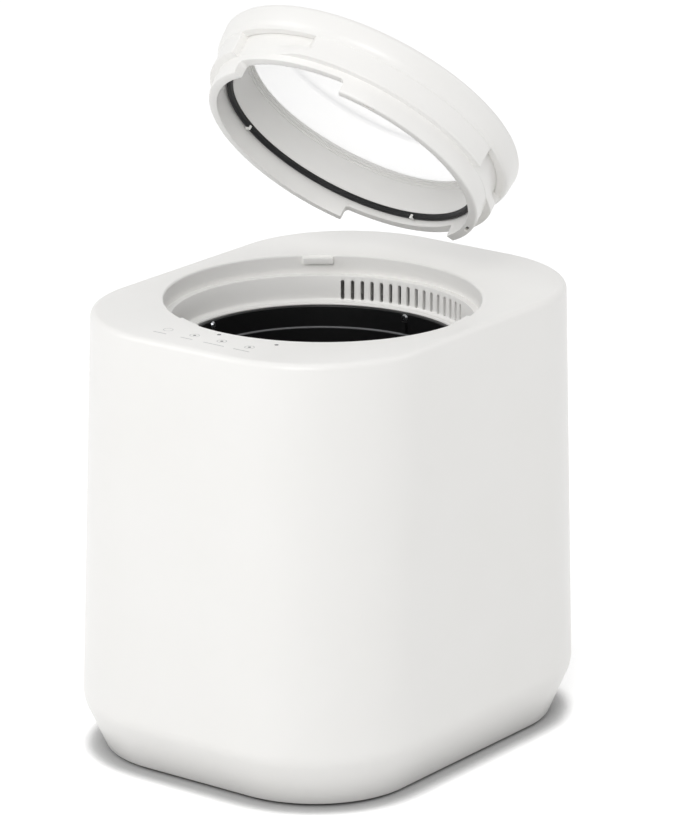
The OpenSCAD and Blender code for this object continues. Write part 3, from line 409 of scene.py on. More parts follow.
def smooth_by_angle(piece, degrees=32):
    """Smooth shading, with a hard edge wherever two faces meet at more than the angle."""
    mesh = piece.data
    mesh.shade_smooth()
    bm = bmesh.new()
    bm.from_mesh(mesh)
    for edge in bm.edges:
        sharp = len(edge.link_faces) != 2 or edge.calc_face_angle(0) > math.radians(degrees)
        edge.smooth = not sharp
    bm.to_mesh(mesh)
    bm.free()


def finish_piece(piece, material, slot, body, *replaced):
    piece.data.materials.clear()
    piece.data.materials.append(material)
    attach(piece, body)
    if replaced:
        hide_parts(*replaced)
    return piece


print("points in a ring:", RING_POINTS)

# %% [markdown]
# ## The housing
# The real housing is one ABS moulding. Its walls lean out a little as they go down to a soft
# waist, then tuck in to the base. The top edge is rounded, the rim of the well has a small
# radius, and three lugs inside the rim hold the lid. The waist is a curve between two leaning
# straight walls, so the light rolls over it without a line.

# %% Housing shape
# half width, half depth and corner radius at three heights
TOP = (124.0, 158.4, 88.4)
WAIST = (127.3, 161.8, 81.7)
BASE = (115.1, 146.1, 71.7)
WALL = 2.6
TOP_T = 3.0
EDGE_R = 4.5
INNER_EDGE_R = 3.0
BASE_EDGE = 0.8
LIP_R = 1.5
RIM_T = 2.5
RIM_FOOT = LEDGE_Z + 0.02
SOFT = 5.0


def blend_sizes(a, b, t):
    return [p + (q - p) * t for p, q in zip(a, b)]


def housing_size(z):
    if z < WAIST_Z:
        return blend_sizes(BASE, WAIST, (z - FOOT_GAP) / (WAIST_Z - FOOT_GAP))
    return blend_sizes(WAIST, TOP, (z - WAIST_Z) / (BODY_TOP - WAIST_Z))


def wall_ring(z, inset=0.0):
    w, d, r = housing_size(z)
    return rounded_ring(w - inset, d - inset, r - inset, z)


def waist_rings(inset, steps=10):
    low, mid, high = (housing_size(WAIST_Z + k * SOFT) for k in (-1, 0, 1))
    rings = []
    for i in range(steps + 1):
        t = i / steps
        w, d, r = ((1 - t) ** 2 * a + 2 * t * (1 - t) * b + t * t * c - inset
                   for a, b, c in zip(low, mid, high))
        rings.append(rounded_ring(w, d, r, WAIST_Z + (2 * t - 1) * SOFT))
    return rings


def rounded_edge(top, r, inset, steps=8):
    return [wall_ring(top - r + r * math.sin(math.radians(90 * i / steps)),
                      inset + r * (1 - math.cos(math.radians(90 * i / steps))))
            for i in range(steps + 1)]


def lip_ring(like, angle):
    """A ring of the rim's rounded lip: 0 degrees on the flat top, 90 on the well's wall."""
    a = math.radians(angle)
    return round_ring(like, RIM_R + LIP_R - LIP_R * math.sin(a),
                      BODY_TOP - LIP_R + LIP_R * math.cos(a))


outside = [wall_ring(FOOT_GAP, BASE_EDGE), wall_ring(FOOT_GAP + 0.25, 0.25),
           wall_ring(FOOT_GAP + BASE_EDGE)]
outside += waist_rings(0) + [wall_ring(z) for z in (90, 140, 190, 240, 280)]
outside += rounded_edge(BODY_TOP, EDGE_R, 0)
lip = [lip_ring(outside[-1], 15 * i) for i in range(7)]
rim = [round_ring(outside[-1], r, z) for r, z in (
    (RIM_R, RIM_FOOT), (RIM_R + RIM_T, RIM_FOOT), (RIM_R + RIM_T, BODY_TOP - TOP_T))]
inside = rounded_edge(BODY_TOP - TOP_T, INNER_EDGE_R, WALL)[::-1]
inside += [wall_ring(z, WALL) for z in (280, 190, 90)] + waist_rings(WALL)[::-1]
inside += [wall_ring(FOOT_GAP, WALL)]
housing = sheet_object("housing_skin", outside + lip + rim + inside)
print("housing skin:", len(housing.data.polygons), "faces")

# %% [markdown]
# ## Openings in the back
# The filter drawer and the power inlet need holes through the back wall. A boolean cuts them
# from plain boxes, which only have to be right where they cross the wall.

# %% Cut the openings
def box_cutter(low, high):
    bpy.ops.mesh.primitive_cube_add(size=1)
    cutter = bpy.context.active_object
    cutter.scale = [mm(h - l) for l, h in zip(low, high)]
    cutter.location = [mm(h + l) / 2 for l, h in zip(low, high)]
    return cutter


def cut_away(piece, cutters):
    for cutter in cutters:
        step = piece.modifiers.new("cut", "BOOLEAN")
        step.operation, step.object, step.solver = "DIFFERENCE", cutter, "EXACT"
        bpy.context.view_layer.objects.active = piece
        bpy.ops.object.modifier_apply(modifier=step.name)
        bpy.data.objects.remove(cutter)


CUT_FROM, CUT_TO = 120, 180
DRAWER_HALF_W, DRAWER_LOW, DRAWER_HIGH = 55, 76, 154
INLET_X, INLET_Z, INLET_HALF_W, INLET_HALF_H = 30, 56, 14.1, 10.4
cut_away(housing, [
    box_cutter((-DRAWER_HALF_W, CUT_FROM, DRAWER_LOW), (DRAWER_HALF_W, CUT_TO, DRAWER_HIGH)),
    box_cutter((INLET_X - INLET_HALF_W, CUT_FROM, INLET_Z - INLET_HALF_H),
               (INLET_X + INLET_HALF_W, CUT_TO, INLET_Z + INLET_HALF_H))])
smooth_by_angle(housing)
finish_piece(housing, white_abs, "white_plastic", "base", "housing_shell")
print("housing after cutting:", len(housing.data.polygons), "faces")

# %% [markdown]
# ## Turned and swept pieces
# Most of the machine is round. A turned piece is one closed outline of radius and height, carried
# round an axis. Real mouldings have no knife edges, so `softened` rounds each corner of an
# outline first. The points land where `place` puts them: on the well's axis, or on the lid's.

# %% Outline helpers
LID_TILT = math.radians(46.1)
HINGE_Y, HINGE_Z = 139.7, 312.7
LID_Z = LEDGE_Z + 0.3


def on_well(x, y, z):
    return Vector((mm(x), mm(WELL_Y + y), mm(z)))


def on_open_lid(x, y, z):
    """A point of the closed lid, heights from its seat, moved to where the lid rests open."""
    dy, dz = WELL_Y + y - HINGE_Y, LID_Z + z - HINGE_Z
    c, s = math.cos(LID_TILT), math.sin(LID_TILT)
    return Vector((mm(x), mm(HINGE_Y + dy * c + dz * s), mm(HINGE_Z - dy * s + dz * c)))


def softened(outline, cut, steps=3):
    """The outline with its corners rounded; each curve starts up to cut millimetres away."""
    points = []
    for i, (r, z) in enumerate(outline):
        (r0, z0), (r2, z2) = outline[i - 1], outline[(i + 1) % len(outline)]
        a = min(cut / math.hypot(r - r0, z - z0), 0.4)
        b = min(cut / math.hypot(r2 - r, z2 - z), 0.4)
        start = (r + (r0 - r) * a, z + (z0 - z) * a)
        end = (r + (r2 - r) * b, z + (z2 - z) * b)
        for k in range(steps + 1):
            t = k / steps
            points.append(tuple((1 - t) ** 2 * p + 2 * t * (1 - t) * q + t * t * e
                                for p, q, e in zip(start, (r, z), end)))
    return points


def arc_outline(r, z, radius, start, end, steps):
    angles = [math.radians(start + (end - start) * i / steps) for i in range(steps + 1)]
    return [(r + radius * math.cos(a), z + radius * math.sin(a)) for a in angles]


def section(outline, angle, place, centre=(0, 0)):
    a = math.radians(angle)
    return [place(centre[0] + r * math.cos(a), centre[1] + r * math.sin(a), z) for r, z in outline]


def beside(place, angle, r, u, z):
    """The point r out from the axis at the angle, and u to the left of that line."""
    a = math.radians(angle)
    return place(r * math.cos(a) - u * math.sin(a), r * math.sin(a) + u * math.cos(a), z)


def turned(name, outline, place, step=1.5, centre=(0, 0)):
    rings = [section(outline, step * i, place, centre) for i in range(round(360 / step))]
    piece = sheet_object(name, rings)
    smooth_by_angle(piece)
    return piece


def arc_piece(name, outline, start, sweep, place, step=0.5, ease=0.3):
    """A solid arc whose ends are eased by a slightly smaller section."""
    middle = [sum(v) / len(outline) for v in zip(*outline)]
    reach = max(math.hypot(r - middle[0], z - middle[1]) for r, z in outline)
    small = [tuple(m + (v - m) * (1 - ease / reach) for v, m in zip(p, middle)) for p in outline]
    inset = math.degrees(ease / middle[0])
    count = max(2, round(sweep / step))
    angles = [start + inset + (sweep - 2 * inset) * i / count for i in range(count + 1)]
    rings = [section(small, start, place)] + [section(outline, a, place) for a in angles]
    rings.append(section(small, start + sweep, place))
    piece = sheet_object(name, rings, loop=False)
    smooth_by_angle(piece)
    return piece


print("lid seat at", round(LID_Z, 1), "mm, tilted", round(math.degrees(LID_TILT), 1), "degrees")

# %% [markdown]
# ## The locking lugs
# Three short arcs stand out from the rim wall, and the lid's bands turn over them. They belong
# to the housing moulding, so they ride with it and share its finish.

# %% Locking lugs
LUG_R, LUG_LOW, LUG_HIGH = 102.2, 299, 303.5
LUG_START, LUG_SPAN, THIRD_TURN = -117, 11.5, 120
lug_outline = softened([(LUG_R, LUG_LOW), (RIM_R + 0.8, LUG_LOW), (RIM_R + 0.8, LUG_HIGH),
                        (LUG_R, LUG_HIGH)], 0.7)
for k in range(3):
    lug = arc_piece(f"locking_lug_{k + 1}", lug_outline, LUG_START + THIRD_TURN * k, LUG_SPAN,
                    on_well)
    finish_piece(lug, white_abs, "white_plastic", "base")

# %% [markdown]
# ## The throat collar
# The collar is a separate white ring that lines the throat: a ledge for the lid, a straight wall
# with a row of air slots at the back, and a flange with a broad fillet round the bucket. Six ears
# under the housing's top take its screws. The slots are cut with rounded ends.

# %% Throat collar
THROAT_R = 101.3
COLLAR_T = 2.5
FLANGE_Z = BODY_TOP - 31.7
FLANGE_R = 96.8
FLANGE_FOOT = FLANGE_Z - COLLAR_T
LEDGE_FOOT = LEDGE_Z - 2.6
FILLET_R = 2.5
SLOTS, SLOT_PITCH, SLOT_HALF_W = 16, 3.9, 1.3
SLOT_TOP = BODY_TOP - 16.6
SLOT_BOTTOM = BODY_TOP - 30.4
EAR_ANGLES, EAR_SPAN, EAR_R = (20, 160, 200, 240, 300, 340), 4.8, 117

collar_outline = [(THROAT_R, LEDGE_Z - 0.8), (THROAT_R + 0.25, LEDGE_Z - 0.25),
                  (THROAT_R + 0.8, LEDGE_Z), (RIM_R + COLLAR_T, LEDGE_Z),
                  (RIM_R + COLLAR_T, LEDGE_FOOT), (THROAT_R + COLLAR_T, LEDGE_FOOT),
                  (THROAT_R + COLLAR_T, FLANGE_FOOT), (FLANGE_R, FLANGE_FOOT)]
collar_outline += arc_outline(FLANGE_R + 1, FLANGE_Z - 1, 1, 180, 90, 6)
collar_outline += arc_outline(THROAT_R - FILLET_R, FLANGE_Z + FILLET_R, FILLET_R, -90, 0, 8)
collar = turned("throat_collar_skin", collar_outline, on_well, 1.0)


def slot_cutter(angle):
    """A bar with rounded ends, through the collar's wall at the angle."""
    ends = arc_outline(0, SLOT_TOP - SLOT_HALF_W, SLOT_HALF_W, 0, 180, 8)
    ends += arc_outline(0, SLOT_BOTTOM + SLOT_HALF_W, SLOT_HALF_W, 180, 360, 8)
    rings = [[beside(on_well, angle, r, u, z) for u, z in ends]
             for r in (THROAT_R - 3, THROAT_R + COLLAR_T + 1)]
    return sheet_object("slot_cutter", rings, loop=False)


slot_angles = [90 + (i - (SLOTS - 1) / 2) * SLOT_PITCH for i in range(SLOTS)]
cut_away(collar, [slot_cutter(a) for a in slot_angles])
smooth_by_angle(collar)
finish_piece(collar, white_abs, "white_plastic", "base", "throat_collar")
ear_root = RIM_R + COLLAR_T - 0.5
ear_outline = softened([(ear_root, LEDGE_FOOT), (EAR_R, LEDGE_FOOT), (EAR_R, LEDGE_Z),
                        (ear_root, LEDGE_Z)], 0.4)
for k, a in enumerate(EAR_ANGLES):
    ear = arc_piece(f"collar_ear_{k + 1}", ear_outline, a - EAR_SPAN / 2, EAR_SPAN, on_well)
    finish_piece(ear, white_abs, "white_plastic", "base")
print("collar:", len(collar.data.polygons), "faces,", len(slot_angles), "slots")

# %% [markdown]
# ## The well liner
# Lift the bucket out and the spun aluminium liner shows: a plain pan with a rolled bottom corner
# and a hole for the shaft. The frame's liner is faceted, which bright metal shows up, so this one
# is turned in fine steps.

# %% Well liner
LINER_R, LINER_T, LINER_TOP = FLANGE_R + 0.6, 1.5, FLANGE_FOOT
PAN_Z, PAN_T, PAN_HOLE, PAN_CORNER = 117.8, 2.0, 20, 10
LIP_OUT, LIP_T = THROAT_R + COLLAR_T + 2, 2
corner = (LINER_R + LINER_T - PAN_CORNER, PAN_Z - PAN_T + PAN_CORNER)
pan_outline = [(PAN_HOLE, PAN_Z - PAN_T)]
pan_outline += arc_outline(*corner, PAN_CORNER, -90, 0, 8)
pan_outline += [(LINER_R + LINER_T, LINER_TOP - LIP_T), (LIP_OUT, LINER_TOP - LIP_T),
                (LIP_OUT, LINER_TOP), (LINER_R, LINER_TOP)]
pan_outline += arc_outline(*corner, PAN_CORNER - LINER_T, 0, -90, 8)
pan_outline += [(PAN_HOLE, PAN_Z)]
liner = turned("well_liner_skin", pan_outline, on_well, 2)
finish_piece(liner, spun_aluminium, "spun_aluminium", "base", "well_liner")
print("liner:", len(liner.data.polygons), "faces")

# %% [markdown]
# ## The lid's ring
# The lower part of the lid is the hardest shape. Three bands stand out from a thin skirt. Each
# swells out of it under the groove where a lug enters, and higher up leans out to meet the cap's
# lower edge flush. The skirt is cut short in two places. All of it can still be swept: at each
# angle the section has the same points, but their radii and heights are functions of the angle,
# and where a band ends two sections stand almost on one angle.

# %% Lid ring
SKIRT_R, BORE_R, RECESS_R = 99.0, 92.3, 99.2
BAND_R, CAP_Z, GROOVE_Z = 104.5, 15.4, 6.7
BAND_START, BAND_SPAN, GROOVE_SPAN = -97.0, 98.4, 15.0
FLARE = 0.7
SKIRT_FOOT, SHORT_FOOT, CUTOUT_R = -13.7, -4.5, 3.0
CUTOUTS = ((-115, -64), (60, 118))
BAND_END_R = 0.8
HAIR = 0.015
SKIRT_DEGREES_PER_MM, BAND_DEGREES_PER_MM = 0.579, 0.55


def edge_drop(distance, radius):
    """How far a rounded edge still lies below its surface at a distance from the edge."""
    left = max(0.0, radius - distance)
    return radius - math.sqrt(radius ** 2 - left ** 2)


def ease_in(t):
    t = min(1.0, max(0.0, t))
    return t * t * (3 - 2 * t)


def foot_height(angle):
    for start, end in CUTOUTS:
        if start < angle < end:
            near = math.radians(min(angle - start, end - angle)) * SKIRT_R
            return SHORT_FOOT - edge_drop(near, CUTOUT_R)
    return SKIRT_FOOT


def band_radii(angle):
    """The band's radius below and above its groove; it swells out of the skirt as it starts."""
    turn = (angle - BAND_START) % THIRD_TURN
    if turn > BAND_SPAN:
        return RECESS_R, RECESS_R
    full = BAND_R - RECESS_R
    end = edge_drop(math.radians(BAND_SPAN - turn) * BAND_R, BAND_END_R)
    low = RECESS_R + full * ease_in(turn / GROOVE_SPAN)
    high = RECESS_R + full * ease_in((turn - GROOVE_SPAN + 1.5) / 3.5)
    return low - end, high - end


def ring_section(angle):
    """The ring's outline at an angle, from the bore's top over the bands to the skirt's foot."""
    low, high = band_radii(angle)
    top = high + FLARE * (high - RECESS_R) / (BAND_R - RECESS_R)
    lip = min(0.6, (low - SKIRT_R) * 0.4)
    root = min(0.6, (low - SKIRT_R) * 0.3)
    step = low - high
    edge = min(0.6, 0.4 * step)
    foot = foot_height(angle)
    cut_z, cut_r = (1.5, 1.3) if foot == SKIRT_FOOT else (0.5, 0.5)
    return [
        (BORE_R, 22.0), (100.6, 22.0), (100.6, CAP_Z + 0.8), (top, CAP_Z + 0.6), (top, CAP_Z),
        (high, 11.0), (high, GROOVE_Z + 0.5), (high + 0.06 * step, GROOVE_Z + 0.1),
        (low - edge, GROOVE_Z), (low - 0.3 * edge, GROOVE_Z - 0.3 * edge - 0.05),
        (low, GROOVE_Z - edge - 0.1), (low, lip), (low - 0.12 * lip, 0.5 * lip),
        (low - 0.5 * lip, 0.12 * lip), (low - lip, 0), (SKIRT_R + root, 0),
        (SKIRT_R + 0.2 * root, -0.2 * root), (SKIRT_R, -root),
        (SKIRT_R, foot + cut_z), (SKIRT_R - 0.2 * cut_r, foot + 0.5 * cut_z),
        (SKIRT_R - 0.55 * cut_r, foot + 0.15 * cut_z), (SKIRT_R - cut_r, foot),
        (BORE_R + 0.6, foot), (BORE_R + 0.15, foot + 0.15), (BORE_R, foot + 0.6), (BORE_R, 4.0)]


def ring_angles():
    """An even step all round, and finer ones where a band or a cut-out starts or ends."""
    angles = [1.5 * i - 180 for i in range(240)]
    for k in range(3):
        start = BAND_START + THIRD_TURN * k
        end = BAND_START + BAND_SPAN + THIRD_TURN * k
        angles += [end - HAIR, end + HAIR]
        angles += [end - BAND_DEGREES_PER_MM * distance for distance in (0.15, 0.4, 0.8)]
        angles += [start + 0.5 * i for i in range(37)]
    for start, end in CUTOUTS:
        angles += [start - HAIR, start + HAIR, end - HAIR, end + HAIR]
        for distance in (0.1, 0.4, 0.8, 1.4, 2.1, 3.0):
            angles += [start + distance * SKIRT_DEGREES_PER_MM,
                       end - distance * SKIRT_DEGREES_PER_MM]
    return sorted({round((a + 180) % 360 - 180, 4) for a in angles})


sections = [section(ring_section(a), a, on_open_lid) for a in ring_angles()]
ring = sheet_object("lid_ring_skin", sections)
print("lid ring:", len(ring.data.polygons), "faces")

# %% [markdown]
# ## The slots, the cap and the inner frame
# Two slots in the skirt's foot hold the magnets that the lid sensor feels. The cap is a turned
# ring with a rounded outer edge, and the inner frame steps down in small ridges to the window.

# %% Magnet slots, cap and frame
MAGNET_ANGLES, MAGNET_SLOT_R, MAGNET_HALF_W, MAGNET_DEPTH = (-51, 42.5), (94.55, 96.75), 4, 7


def foot_slot(angle):
    """A box that cuts a slot up into the skirt's foot at the angle."""
    (inner, outer), half = MAGNET_SLOT_R, MAGNET_HALF_W
    corners = [(inner, -half), (outer, -half), (outer, half), (inner, half)]
    rings = [[beside(on_open_lid, angle, r, u, z) for r, u in corners]
             for z in (SKIRT_FOOT - 1, SKIRT_FOOT + MAGNET_DEPTH)]
    return sheet_object("slot_cutter", rings, loop=False)


cut_away(ring, [foot_slot(a) for a in MAGNET_ANGLES])
smooth_by_angle(ring)
finish_piece(ring, white_abs, "white_plastic", "lid_ring", "lid_lock_ring")

CAP_BORE, CAP_MIDDLE = 92, (105, 30)
cap_outline = [(100.3, CAP_Z), (BAND_R + FLARE + 0.1, CAP_Z), (106.3, CAP_Z + 0.8),
               (107.0, CAP_Z + 1.7), (107.7, CAP_Z + 3.2), (108.2, CAP_Z + 5.4)]
cap_outline += arc_outline(*CAP_MIDDLE, 3.97, 0, 80, 10)
cap_outline += [(95, 34.6), (CAP_BORE + 0.6, 34.35), (CAP_BORE, 33.8), (CAP_BORE, 25.1),
                (94.2, 25.1), (95.5, 31.6)]
cap_outline += arc_outline(*CAP_MIDDLE, 1.6, 80, 0, 5) + [(105.0, 18.2), (100.3, 17.8)]
cap = turned("lid_cap_skin", cap_outline, on_open_lid, 1.0)
finish_piece(cap, white_abs, "white_plastic", "lid_ring", "lid_cap")

GASKET_TOP = 3.6
frame_outline = [(89.6, 32.3), (89.6, 29.3), (86.5, 29.3), (86.5, 27.6), (87.4, 27.6), (87.4, 26.0),
                 (88.3, 26.0), (88.3, 24.4), (89.0, 24.4), (88.4, GASKET_TOP), (91.6, GASKET_TOP),
                 (91.6, 22.4), (99.4, 22.4), (99.4, 24.6), (91.6, 24.6), (91.6, 32.3)]
lid_frame = turned("lid_frame_skin", softened(frame_outline, 0.35), on_open_lid, 1.0)
finish_piece(lid_frame, white_abs, "white_plastic", "lid_inner", "lid_frame")
print("lid cap and frame:", len(cap.data.polygons), "and", len(lid_frame.data.polygons), "faces")

# %% [markdown]
# ## Soft pieces
# The gasket, the feet, the shaft seal and the felt blanket are soft, so none is left as a hard
# CAD solid. The gasket is a full, rounded lip. The feet bulge a little under the load. The
# blanket is wrapped by hand, so its outside wanders by half a millimetre.

# %% Gasket, clips, feet, seal and blanket
CLIP_START, CLIP_SPAN = -4, 1.16
FOOT_X, FOOT_Y = 74, 98

gasket_outline = softened([(88.5, 0.6), (89.3, -0.4), (91.2, -0.4), (91.6, 0.6),
                           (91.6, GASKET_TOP), (88.4, GASKET_TOP)], 0.8, 4)
gasket = turned("lid_gasket_skin", gasket_outline, on_open_lid)
finish_piece(gasket, silicone, "rubber", "lid_inner", "lid_gasket")

clip_outline = softened([(87.4, -1.8), (91.2, -1.8), (91.2, -0.45), (88.2, -0.45), (88.2, 1.4),
                         (87.4, 1.4)], 0.25)
for k in range(4):
    clip = arc_piece(f"gasket_clip_{k + 1}", clip_outline, CLIP_START + 90 * k - CLIP_SPAN / 2,
                     CLIP_SPAN, on_open_lid, 0.3, 0.2)
    replaced = ["gasket_clips"] if k == 0 else []
    finish_piece(clip, white_abs, "white_plastic", "lid_inner", *replaced)

foot_outline = [(0.4, 0.0), (8.9, 0.0), (9.6, 0.3), (10.3, 1.0), (10.45, 1.6), (10.3, 1.95),
                (5, 2.0), (4.95, 5.0), (6, 5.05), (6.1, 5.6), (5.4, 6.2), (0.4, 6.2)]
foot_places = [(x, y) for x in (-FOOT_X, FOOT_X) for y in (-FOOT_Y, FOOT_Y)]
for k, (x, y) in enumerate(foot_places):
    foot = turned(f"rubber_foot_{k + 1}", foot_outline, on_well, 6, (x, y - WELL_Y))
    replaced = ["rubber_feet"] if k == 0 else []
    finish_piece(foot, silicone, "rubber", "base", *replaced)

seal_outline = softened([(5.1, 116.3), (7.0, 113.8), (19.95, 113.8), (19.95, 118.2), (6.5, 118.2),
                         (5.1, 117.3)], 0.4)
seal = turned("shaft_seal_skin", seal_outline, on_well, 6)
finish_piece(seal, silicone, "rubber", "base", "shaft_seal")

WRAP_IN, WRAP_OUT = 99.25, 102.3
WRAP_LOW, WRAP_MIDDLE, WRAP_HIGH = 126, 196, 265.5
wrap_rings = []
for a in range(0, 360, 2):
    puff = 0.25 * math.sin(math.radians(7 * a)) + 0.2 * math.sin(math.radians(11 * a + 40))
    shape = softened([(WRAP_IN, WRAP_LOW), (WRAP_OUT + puff, WRAP_LOW),
                      (WRAP_OUT + puff, WRAP_MIDDLE), (WRAP_OUT - puff, WRAP_HIGH),
                      (WRAP_IN, WRAP_HIGH)], 1.2)
    wrap_rings.append(section(shape, a, on_well))
wrap = sheet_object("insulation_wrap", wrap_rings)
smooth_by_angle(wrap)
finish_piece(wrap, blanket, "felt", "base", "insulation_sleeve")
print("soft pieces:", gasket.name, seal.name, wrap.name, "and", len(foot_places), "feet")

# %% [markdown]
# ## Printed marks
# The front of the top is a touch panel. Its print is thin and pale: four round pictograms, each
# over a short grey line, and two dots that show where the lid's own mark must stand. The dots have
# a pinhole in the middle, because a turned outline can't reach its axis. All the marks are
# pads 0.05 mm proud of the surface, as thick as pad-printed ink looks.

# %% Ink and marks
def ink_skin(name, colour):
    material, tree, place = start_material(name)
    wear = between(tree, noise(tree, place, 2.0, 3.0), 0.9, 1.1)
    shade = blend(tree, 1.0, linear(colour), wear, blend_type="MULTIPLY")
    skin = add_node(tree, "BsdfPrincipled", {"Base Color": shade, "Roughness": 0.45, "IOR": 1.5})
    end_material(tree, skin.outputs["BSDF"])
    return material


pale_ink = ink_skin("pale_grey_ink", "#C6C6C5")
dark_ink = ink_skin("dark_grey_ink", "#6E6E6F")
INK_LOW, INK_TOP = BODY_TOP - 0.03, BODY_TOP + 0.05


def ink_ring(name, x, y, inner, outer, ink):
    outline = [(inner, INK_LOW), (outer, INK_LOW), (outer, INK_TOP), (inner, INK_TOP)]
    piece = turned(name, outline, on_well, 12, (x, y))
    finish_piece(piece, ink, "grey_plastic", "base")


def ink_bar(name, x, y, width, height, ink):
    half = width / 2 - height / 2
    ends = [(px + x, py + y) for px, py in arc_outline(half, 0, height / 2, -90, 90, 6)
            + arc_outline(-half, 0, height / 2, 90, 270, 6)]
    rings = [[on_well(px, py, z) for px, py in ends] for z in (INK_LOW, INK_TOP)]
    finish_piece(sheet_object(name, rings, loop=False), ink, "grey_plastic", "base")


MODE_Y, LINE_Y = -123.5, -132.2
for k, (x, width) in enumerate(((-33.0, 11), (-11.1, 10), (11.3, 17), (33.9, 13))):
    ink_ring(f"mode_ring_{k + 1}", x, MODE_Y, 2.9, 3.4, pale_ink)
    if k:
        ink_ring(f"mode_dot_{k + 1}", x, MODE_Y, 0.05, 1.1, dark_ink)
    ink_bar(f"mode_line_{k + 1}", x, LINE_Y, width, 1.0, pale_ink)
for k, (x, y) in enumerate(((0.6, -112.6), (44.5, -108.7))):
    ink_ring(f"lock_dot_{k + 1}", x, y, 0.05, 1.4, dark_ink)

# %% [markdown]
# ## Eased edges at the back
# The filter drawer's front and the power inlet have knife edges in the frame. A copy of each
# gets its flat faces merged and a small bevel on every sharp edge, and takes the piece's place.

# %% Eased copies
def eased(name, width, body):
    source = nodes[name]
    piece = bpy.data.objects.new(name + "_eased", source.data.copy())
    bpy.context.scene.collection.objects.link(piece)
    piece.matrix_world = source.matrix_world.copy()
    bm = bmesh.new()
    bm.from_mesh(piece.data)
    bmesh.ops.remove_doubles(bm, verts=bm.verts, dist=mm(0.005))
    bmesh.ops.dissolve_limit(bm, angle_limit=math.radians(1), verts=bm.verts, edges=bm.edges)
    bm.to_mesh(piece.data)
    bm.free()
    step = piece.modifiers.new("ease", "BEVEL")
    step.width, step.segments, step.limit_method = mm(width), 2, "ANGLE"
    step.angle_limit = math.radians(40)
    bpy.context.view_layer.objects.active = piece
    bpy.ops.object.modifier_apply(modifier=step.name)
    smooth_by_angle(piece, 40)
    return finish_piece(piece, FINISHES[slot_of[name]], slot_of[name], body, name)


eased("filter_drawer", 0.5, "odour_drawer")
eased("power_inlet", 0.3, "base")

# %% [markdown]
# ## Studio
# The picture has a pure white ground with a thin contact shadow. The floor is white paper that
# looks brighter to the camera than it is to the rest of the scene, so it burns out to white but
# stays dark where the machine stands on it; close round the base a painted shade deepens that
# contact shadow. The light is mostly the even glow of the world. Two large lamps in front light
# the machine evenly round to its corner, and a weak one behind it on the right lifts the far side.

# %% Camera
AZIMUTH, ELEVATION, ROLL = 36.63, 17.10, 0.18
AWAY, ACROSS, BELOW = 33.26, 0.171, 0.711
LENS = 232.6


def camera_frame(azimuth, elevation, roll):
    az, el, ro = (math.radians(v) for v in (azimuth, elevation, roll))
    right = Vector((math.cos(az), math.sin(az), 0))
    back = Vector((math.sin(az) * math.cos(el), -math.cos(az) * math.cos(el), math.sin(el)))
    up = back.cross(right)
    rolled = right * math.cos(ro) + up * math.sin(ro)
    return rolled, back.cross(rolled), back


right, up, back = camera_frame(AZIMUTH, ELEVATION, ROLL)
rim_centre = Vector((0, mm(WELL_Y), mm(BODY_TOP)))
camera = bpy.data.objects.new("camera", bpy.data.cameras.new("camera"))
bpy.context.scene.collection.objects.link(camera)
camera.matrix_world = Matrix((
    (right.x, up.x, back.x, 0), (right.y, up.y, back.y, 0), (right.z, up.z, back.z, 0),
    (0, 0, 0, 1)))
# the fit to the photo gives the distance and the two shifts in rim radii
camera.location = rim_centre + mm(RIM_R) * (AWAY * back + ACROSS * right - BELOW * up)
camera.data.lens = LENS
camera.data.clip_start, camera.data.clip_end = 0.1, 60
bpy.context.scene.camera = camera
print("camera is", round((camera.location - rim_centre).length, 2), "m from the rim")

# %% Floor, world and lamps
PAPER_LIFT = 1.9
WORLD_LEVEL = 0.61
# CONTACT_SHADE is the darkest factor of the painted shade round the base, CONTACT_REACH its reach
# in metres
CONTACT_REACH, CONTACT_SHADE = 0.02, 0.34


def seen_directly(tree):
    """1 for rays from the camera, a mirror or a window, which should meet plain white."""
    path = add_node(tree, "LightPath")
    two = add_node(tree, "Math", {0: path.outputs["Is Camera Ray"],
                                  1: path.outputs["Is Glossy Ray"]}, operation="MAXIMUM")
    return add_node(tree, "Math", {0: two.outputs[0], 1: path.outputs["Is Transmission Ray"]},
                    operation="MAXIMUM").outputs[0]


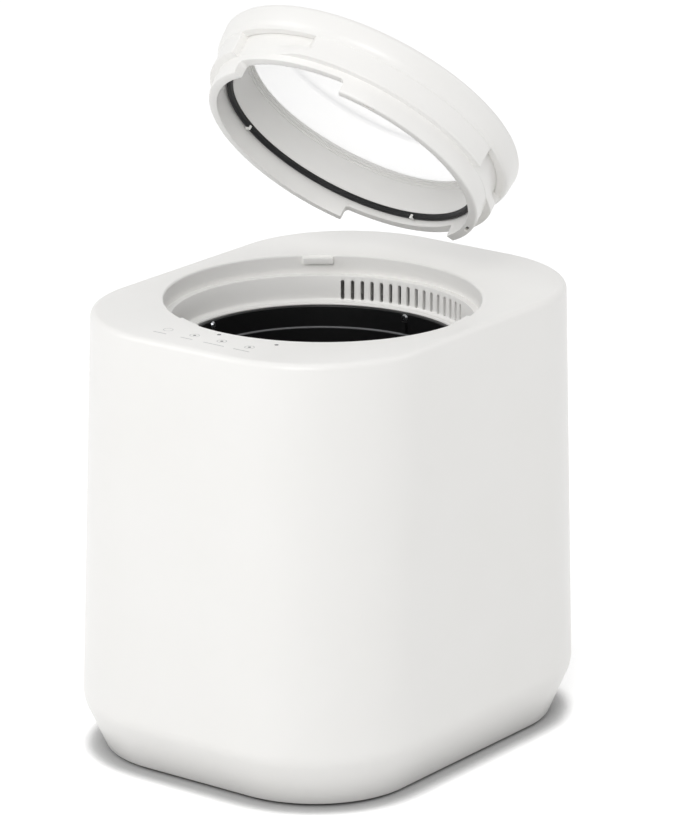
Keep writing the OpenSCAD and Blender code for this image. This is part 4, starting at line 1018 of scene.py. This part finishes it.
def floor_finish():
    material, tree, place = start_material("white_paper_ground")
    fibre = add_node(tree, "TexNoise", {"Vector": place, "Scale": 3.0, "Detail": 2.0})
    tint = blend(tree, fibre.outputs["Fac"], linear("#E7E7E7"), linear("#E4E4E4"))
    lift = between(tree, seen_directly(tree), 1.0, PAPER_LIFT)
    shown = add_node(tree, "VectorMath", {0: tint, "Scale": lift}, operation="SCALE")
    # painted shade: where the base stands close over the paper, an ambient occlusion mask darkens
    # the paper's colour, down to CONTACT_SHADE of it, so the contact shadow is deeper than the
    # lamps alone make it
    close = add_node(tree, "AmbientOcclusion", {"Distance": CONTACT_REACH}, samples=8)
    painted_contact_shade = between(tree, close.outputs["AO"], CONTACT_SHADE, 1.0, 0.5, 1.0,
                    interpolation_type="SMOOTHSTEP")
    shaded = add_node(tree, "VectorMath", {0: shown.outputs[0], "Scale": painted_contact_shade},
                      operation="SCALE")
    paper = add_node(tree, "BsdfDiffuse", {"Color": shaded.outputs[0]})
    end_material(tree, paper.outputs[0])
    return material


bpy.ops.mesh.primitive_plane_add(size=60)
floor = bpy.context.active_object
floor.name = "floor"
floor.data.materials.append(floor_finish())

world = bpy.data.worlds.new("white_studio")
bpy.context.scene.world = world
world.use_nodes = True
sky = world.node_tree
sky.nodes.clear()
level = between(sky, seen_directly(sky), WORLD_LEVEL, 1.0)
glow = add_node(sky, "Background", {"Color": (1, 1, 1, 1), "Strength": level})
add_node(sky, "OutputWorld", {"Surface": glow.outputs["Background"]})


def soft_lamp(name, spot, aim, size, watts):
    lamp = bpy.data.objects.new(name, bpy.data.lights.new(name, "AREA"))
    bpy.context.scene.collection.objects.link(lamp)
    lamp.data.shape, lamp.data.size, lamp.data.size_y = "RECTANGLE", size, size
    lamp.data.energy = watts
    lamp.location = spot
    lamp.rotation_mode = "QUATERNION"
    lamp.rotation_quaternion = (Vector(aim) - Vector(spot)).to_track_quat("-Z", "Y")


soft_lamp("front_left_lamp", (-2.0, -1.9, 1.9), (0, 0, 0.2), 1.6, 18)
soft_lamp("front_right_lamp", (1.25, -2.6, 2.0), (0, 0, 0.2), 1.4, 33)
soft_lamp("back_right_lamp", (1.88, 1.58, 1.9), (0, 0, 0.3), 1.2, 8)
bpy.context.scene.view_settings.view_transform = "Standard"
